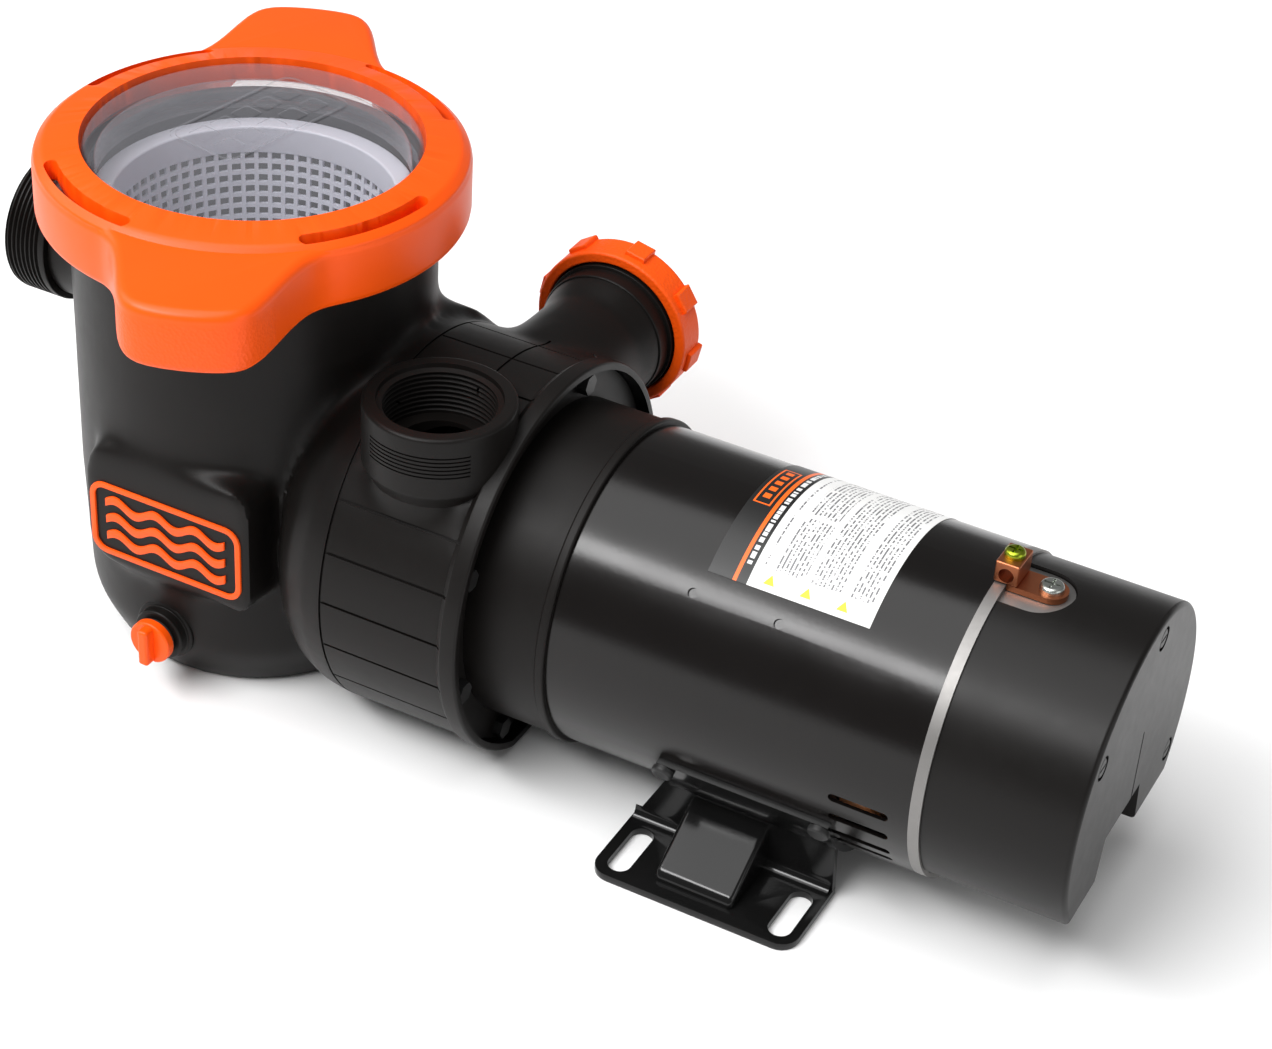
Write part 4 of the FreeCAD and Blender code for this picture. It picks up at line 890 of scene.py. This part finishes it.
def ring_outline(shrink=0.0, steps=360):
    points = []
    for step in range(steps):
        angle = 360.0 * step / steps
        apart = min(abs((angle - lobe + 180) % 360 - 180) for lobe in LOBE_ANGLES)
        around = [lobe_reach(abs(apart + shift)) for shift in (-1.5, -0.75, 0, 0.75, 1.5)]
        reach = sum(around) / len(around) - shrink
        points.append(Vector((POT_X + reach * math.cos(math.radians(angle)),
                              reach * math.sin(math.radians(angle)))))
    return points


def solid_from(name, points, low, high):
    piece = outline(name, points, lambda u, v: (u, v, low))
    bpy.ops.object.mode_set(mode="EDIT")
    bpy.ops.mesh.select_all(action="SELECT")
    bpy.ops.mesh.edge_face_add()
    bpy.ops.mesh.extrude_region_move(TRANSFORM_OT_translate={"value": (0, 0, (high - low) * MM)})
    bpy.ops.object.mode_set(mode="OBJECT")
    tidy_mesh(piece)
    return piece


def ring_slot(angle):
    """Curved slot with round ends."""
    slot = turned("slot", [(77.4, 213), (82.6, 213), (82.6, 230), (77.4, 230)], POT, UP, 24, 39, angle - 19.5)
    ends = []
    for side in (-19.5, 19.5):
        turn = math.radians(angle + side)
        spot = POT + Vector((80 * math.cos(turn), 80 * math.sin(turn), 213))
        ends.append(rod("slot_end", 2.6, spot, spot + UP * 17, 24))
    return [slot] + ends


def make_ring():
    """Locking ring with two grip lobes and four curved slots."""
    ring = solid_from("locking_ring", ring_outline(), RING_BOTTOM, 220.6)
    modify(ring, "BEVEL", width=4.2 * MM, segments=5, limit_method="ANGLE", angle_limit=math.radians(60))
    crown = turned("crown", [(60, 212), (86, 212), (85.6, 219.6, 2), (82.0, 222.6, 5),
                             (WINDOW_R - 1, RING_TOP - 0.1), (60, RING_TOP - 0.1)], POT, UP, 192)
    combine(ring, [crown], "UNION")
    window = turned("window", [(0, 180), (WINDOW_R, 180), (WINDOW_R, 225.3), (WINDOW_R + 1.2, 226.5),
                               (0, 226.5)], POT, UP, 192)
    inside = rod("inside", 82.0, Vector((POT_X, 0, 180)), Vector((POT_X, 0, 214.6)), 128)
    hollow = solid_from("lobe_hollow", ring_outline(4.0), RING_BOTTOM - 4, 212)
    cuts = [window, inside, hollow]
    for angle in SLOT_ANGLES:
        cuts += ring_slot(angle)
    combine(ring, cuts)
    soften_edges(ring, 0.5, 2, 50)
    finished(ring, FINISHES["orange_plastic"], "locking_ring", "orange_plastic", "lid_ring")


def lid_mark():
    """Raised rounded frame with plain bars, moulded on the lid."""
    turn = math.radians(80)
    across = Vector((math.cos(turn), math.sin(turn)))
    along = Vector((-math.sin(turn), math.cos(turn)))

    def place(u, v, depth):
        spot = Vector((POT_X - 6, 13)) + across * u + along * v
        return (spot.x, spot.y, depth)

    outside = prism("lid_frame", [(-35, -18, 6), (35, -18, 6), (35, 18, 6), (-35, 18, 6)],
                    223.0, 225.3, place)
    inside = prism("lid_hole", [(-33.2, -16.2, 5), (33.2, -16.2, 5), (33.2, 16.2, 5),
                                (-33.2, 16.2, 5)], 219, 228, place)
    combine(outside, [inside])
    bars = []
    for row in (-7.0, 7.0):
        for column in range(5):
            left = -28.5 + column * 11.8
            bars.append(prism("lid_bar", [(left, row - 4.5, 1.5), (left + 9.4, row - 4.5, 1.5),
                                          (left + 9.4, row + 4.5, 1.5), (left, row + 4.5, 1.5)],
                              223.0, 225.1, place))
    return joined("lid_mark", [outside] + bars)


def make_lid():
    lid = turned("lid_dome", [(0, 224.6), (52, 224.4, 60), (66.9, 223.6, 3.2), (66.9, 214.4, 0.6),
                              (78.6, 214.4, 0.6), (78.6, 210.4, 0.6), (66.0, 210.4), (66.0, 204.6, 0.6),
                              (62.5, 204.6, 0.6), (62.5, 218.6, 3), (50, 221.0, 20), (0, 221.6)],
                 POT, UP, 160)
    mark = lid_mark()
    combine(lid, [mark], "UNION")
    finished(lid, FINISHES["clear_plastic"], "lid", "clear_plastic", "clear_lid")


# ---- motor foot -----------------------------------------------------------------------------------
BEND_Y = 46.0
FOOT_HALF = 84.0
SLOT_Y = 65.7
CRADLE_R = 69.0


def foot_flange(side):
    """Flat plate on one side, with its two bolt slots."""
    def place(u, v, depth):
        return (u, side * v, depth)

    plate = prism("flange", [(-9.4, 43), (-9.4, FOOT_HALF, 8), (78.6, FOOT_HALF, 8), (78.6, 43)], 0, 3, place)
    slots = [prism("slot", [(x - 4.75, SLOT_Y - 13.95, 4.7), (x - 4.75, SLOT_Y + 13.95, 4.7),
                            (x + 4.75, SLOT_Y + 13.95, 4.7), (x + 4.75, SLOT_Y - 13.95, 4.7)], -2, 6, place)
             for x in (0.0, 69.85)]
    combine(plate, slots)
    return soften_edges(plate, 0.6, 2, 50)


def foot_bend(side):
    """Upright web with the soft bend at its foot."""
    web = prism("web", [(-9.4, 1), (78.6, 1), (77, 33, 6), (7, 33, 6)], BEND_Y - 3, BEND_Y,
                lambda u, v, depth: (u, side * depth, v))
    curve = [(51 + 5 * math.cos(math.radians(turn)), 8 + 5 * math.sin(math.radians(turn)))
             for turn in range(270, 179, -10)]
    points = [(45.5, 2.5), (51, 2.5)] + curve
    bend = prism("bend", points + [(45.5, 8)], -8.5, 77.5, lambda u, v, depth: (depth, side * u, v))
    return [web, bend]


def foot_gusset(side):
    """Pressed bulge that ties the plate to the web, soft all round."""
    section = [(43, 1.5), (77, 1.5), (76, 7, 6), (52, 21.5, 10), (43, 25)]
    bulge = prism("gusset", section, 15.6, 49.6, lambda u, v, depth: (depth, side * u, v))
    modify(bulge, "BEVEL", width=9.0 * MM, segments=10, limit_method="ANGLE", angle_limit=math.radians(60),
           loop_slide=False)
    return bulge


def make_foot():
    cradle = turned("cradle", [(66.3, 7), (CRADLE_R, 7), (CRADLE_R, 80), (66.3, 80)], SHAFT, BACKWARD,
                    48, 134, 293)
    pieces = []
    for side in (-1, 1):
        pieces += [foot_flange(side), foot_gusset(side)] + foot_bend(side)
    combine(cradle, pieces, "UNION")
    combine(cradle, [rod("shell_room", 66.3, SHAFT + BACKWARD * -30, SHAFT + BACKWARD * 100, 128)])
    cradle.name = cradle.data.name = "foot_pressing"
    finished(cradle, FINISHES["foot_paint"], "pump", "foot_paint", "motor_foot", angle=35)


# ---- label ----------------------------------------------------------------------------------------
LABEL_FIRST = -40.0      # angles of its two edges from the top, positive towards the near side
LABEL_LAST = 38.0
LABEL_LIFT = 0.22
LABEL_ARC = math.radians(LABEL_LAST - LABEL_FIRST) * (SHELL_R + LABEL_LIFT)


def make_label():
    bpy.ops.object.select_all(action="DESELECT")
    bpy.ops.mesh.primitive_grid_add(x_subdivisions=12, y_subdivisions=60, size=1, calc_uvs=True)
    label = named("rating_label_film")
    for vertex in label.data.vertices:
        x = LABEL_LOW.x + (vertex.co.x + 0.5) * (LABEL_HIGH.x - LABEL_LOW.x)
        angle = LABEL_LAST - (vertex.co.y + 0.5) * (LABEL_LAST - LABEL_FIRST)
        vertex.co = around_shaft(angle, SHELL_R + 0.03, x) * MM
    modify(label, "SOLIDIFY", thickness=(LABEL_LIFT - 0.03) * MM, offset=1.0)
    finished(label, FINISHES["label_film"], "pump", "label_film", "rating_label")


# ---- stage ----------------------------------------------------------------------------------------
CAMERA_PLACE = Vector((372.1, -850.84, 775.03))


def area_light(name, place, target, width, depth, power, colour=(1.0, 1.0, 1.0)):
    bpy.ops.object.select_all(action="DESELECT")
    bpy.ops.object.light_add(type="AREA", location=place)
    light = bpy.context.active_object
    light.name = name
    light.rotation_euler = (Vector(target) - Vector(place)).to_track_quat("-Z", "Y").to_euler()
    light.data.shape = "RECTANGLE"
    light.data.size = width
    light.data.size_y = depth
    light.data.energy = power
    light.data.color = colour
    return light


def make_floor():
    bpy.ops.object.select_all(action="DESELECT")
    bpy.ops.mesh.primitive_plane_add(size=12, location=(0, 0, -0.0003))
    floor = named("floor")
    bpy.ops.object.transform_apply(location=True, rotation=True, scale=True)
    finish = Finish("floor_paper", Roughness=0.9, Specular_IOR_Level=0.1)
    paper = finish.noise(6.0, 2.0)
    finish.feed("Base Color", finish.mix(paper, (0.93, 0.93, 0.93, 1), (0.95, 0.95, 0.95, 1)))
    floor.data.materials.append(finish.material)


def make_camera(stage):
    a, e, r = stage.azimuth, stage.elevation, stage.roll
    forward = Vector((-math.sin(a) * math.cos(e), math.cos(a) * math.cos(e), -math.sin(e)))
    right = Vector((math.cos(a), math.sin(a), 0))
    upward = right.cross(forward)
    side = right * math.cos(r) + upward * math.sin(r)
    top = upward * math.cos(r) - right * math.sin(r)
    bpy.ops.object.camera_add(location=CAMERA_PLACE * MM)
    camera = bpy.context.active_object
    camera.name = "camera"
    turn = Matrix((side, top, -forward)).transposed().to_4x4()
    camera.matrix_world = Matrix.Translation(CAMERA_PLACE * MM) @ turn
    camera.data.lens = stage.focal_length
    camera.data.sensor_width = 36.0
    camera.data.clip_end = 50.0
    bpy.context.scene.camera = camera


def make_lights(stage):
    area_light("key_light", (-0.57, -1.03, 1.375), (0.03, -0.05, 0.12), 1.35, 0.3, stage.key_power)
    area_light("left_light", (-1.5, -0.2, 1.0), (-0.2, 0, 0.12), 0.9, 0.8, stage.key_power * 0.25)
    area_light("side_light", (1.9, -0.4, 0.7), (0.1, 0, 0.1), 1.2, 0.8, stage.key_power * 0.3)
    bpy.ops.object.light_add(type="SUN", rotation=(math.radians(14), math.radians(-12), 0))
    overhead = bpy.context.active_object
    overhead.name = "overhead_light"
    overhead.data.energy = 2.3
    overhead.data.angle = math.radians(60)
    world = bpy.data.worlds.new("studio")
    world.use_nodes = True
    world.node_tree.nodes["Background"].inputs["Color"].default_value = (1.0, 1.0, 1.0, 1.0)
    world.node_tree.nodes["Background"].inputs["Strength"].default_value = 0.22
    bpy.context.scene.world = world
    bpy.context.scene.view_settings.view_transform = "Standard"


# ---- operators ------------------------------------------------------------------------------------
class PUMP_OT_finishes(bpy.types.Operator):
    """Make every finish and give the frame's nodes theirs"""
    bl_idname = "pump.finishes"
    bl_label = "Finishes"

    def execute(self, context):
        make_finishes(context.scene.pump_colours)
        paint_frame()
        return {"FINISHED"}


class PUMP_OT_body(bpy.types.Operator):
    """Model the blended moulding of the pot, the drum and the ports"""
    bl_idname = "pump.body"
    bl_label = "Pump body"

    def execute(self, context):
        make_body(context.scene.pump_sizes)
        make_badge()
        return {"FINISHED"}


class PUMP_OT_basket(bpy.types.Operator):
    """Model the strainer basket with its grid of holes"""
    bl_idname = "pump.basket"
    bl_label = "Strainer basket"

    def execute(self, context):
        make_basket()
        return {"FINISHED"}


class PUMP_OT_ring(bpy.types.Operator):
    """Model the locking ring"""
    bl_idname = "pump.ring"
    bl_label = "Locking ring"

    def execute(self, context):
        make_ring()
        return {"FINISHED"}


class PUMP_OT_lid(bpy.types.Operator):
    """Model the clear lid"""
    bl_idname = "pump.lid"
    bl_label = "Clear lid"

    def execute(self, context):
        make_lid()
        return {"FINISHED"}


class PUMP_OT_foot(bpy.types.Operator):
    """Model the pressed motor foot"""
    bl_idname = "pump.foot"
    bl_label = "Motor foot"

    def execute(self, context):
        make_foot()
        return {"FINISHED"}


class PUMP_OT_label(bpy.types.Operator):
    """Wrap the printed label round the motor shell"""
    bl_idname = "pump.label"
    bl_label = "Rating label"

    def execute(self, context):
        make_label()
        return {"FINISHED"}


class PUMP_OT_stage(bpy.types.Operator):
    """Set up the floor, the camera and the lights"""
    bl_idname = "pump.stage"
    bl_label = "Stage"

    def execute(self, context):
        stage = context.scene.pump_stage
        make_floor()
        make_camera(stage)
        make_lights(stage)
        return {"FINISHED"}


class PUMP_PT_panel(bpy.types.Panel):
    """Sidebar panel that lists the pump's pieces"""
    bl_idname = "PUMP_PT_panel"
    bl_label = "Pool pump"
    bl_space_type = "VIEW_3D"
    bl_region_type = "UI"
    bl_category = "Pool pump"

    def draw(self, context):
        for settings in (context.scene.pump_sizes, context.scene.pump_colours, context.scene.pump_stage):
            for key in settings.__annotations__:
                self.layout.prop(settings, key)
        for step in STEPS:
            self.layout.operator(step.bl_idname)


STEPS = (PUMP_OT_finishes, PUMP_OT_body, PUMP_OT_basket, PUMP_OT_ring, PUMP_OT_lid, PUMP_OT_foot,
         PUMP_OT_label, PUMP_OT_stage)
CLASSES = (PumpSizes, PumpColours, StageSettings) + STEPS + (PUMP_PT_panel,)


def register():
    for item in CLASSES:
        bpy.utils.register_class(item)
    bpy.types.Scene.pump_sizes = bpy.props.PointerProperty(type=PumpSizes)
    bpy.types.Scene.pump_colours = bpy.props.PointerProperty(type=PumpColours)
    bpy.types.Scene.pump_stage = bpy.props.PointerProperty(type=StageSettings)


def unregister():
    del bpy.types.Scene.pump_sizes
    del bpy.types.Scene.pump_colours
    del bpy.types.Scene.pump_stage
    for item in reversed(CLASSES):
        bpy.utils.unregister_class(item)


def main():
    register()
    for step in STEPS:
        group, name = step.bl_idname.split(".")
        getattr(getattr(bpy.ops, group), name)()


if __name__ == "__main__":
    main()
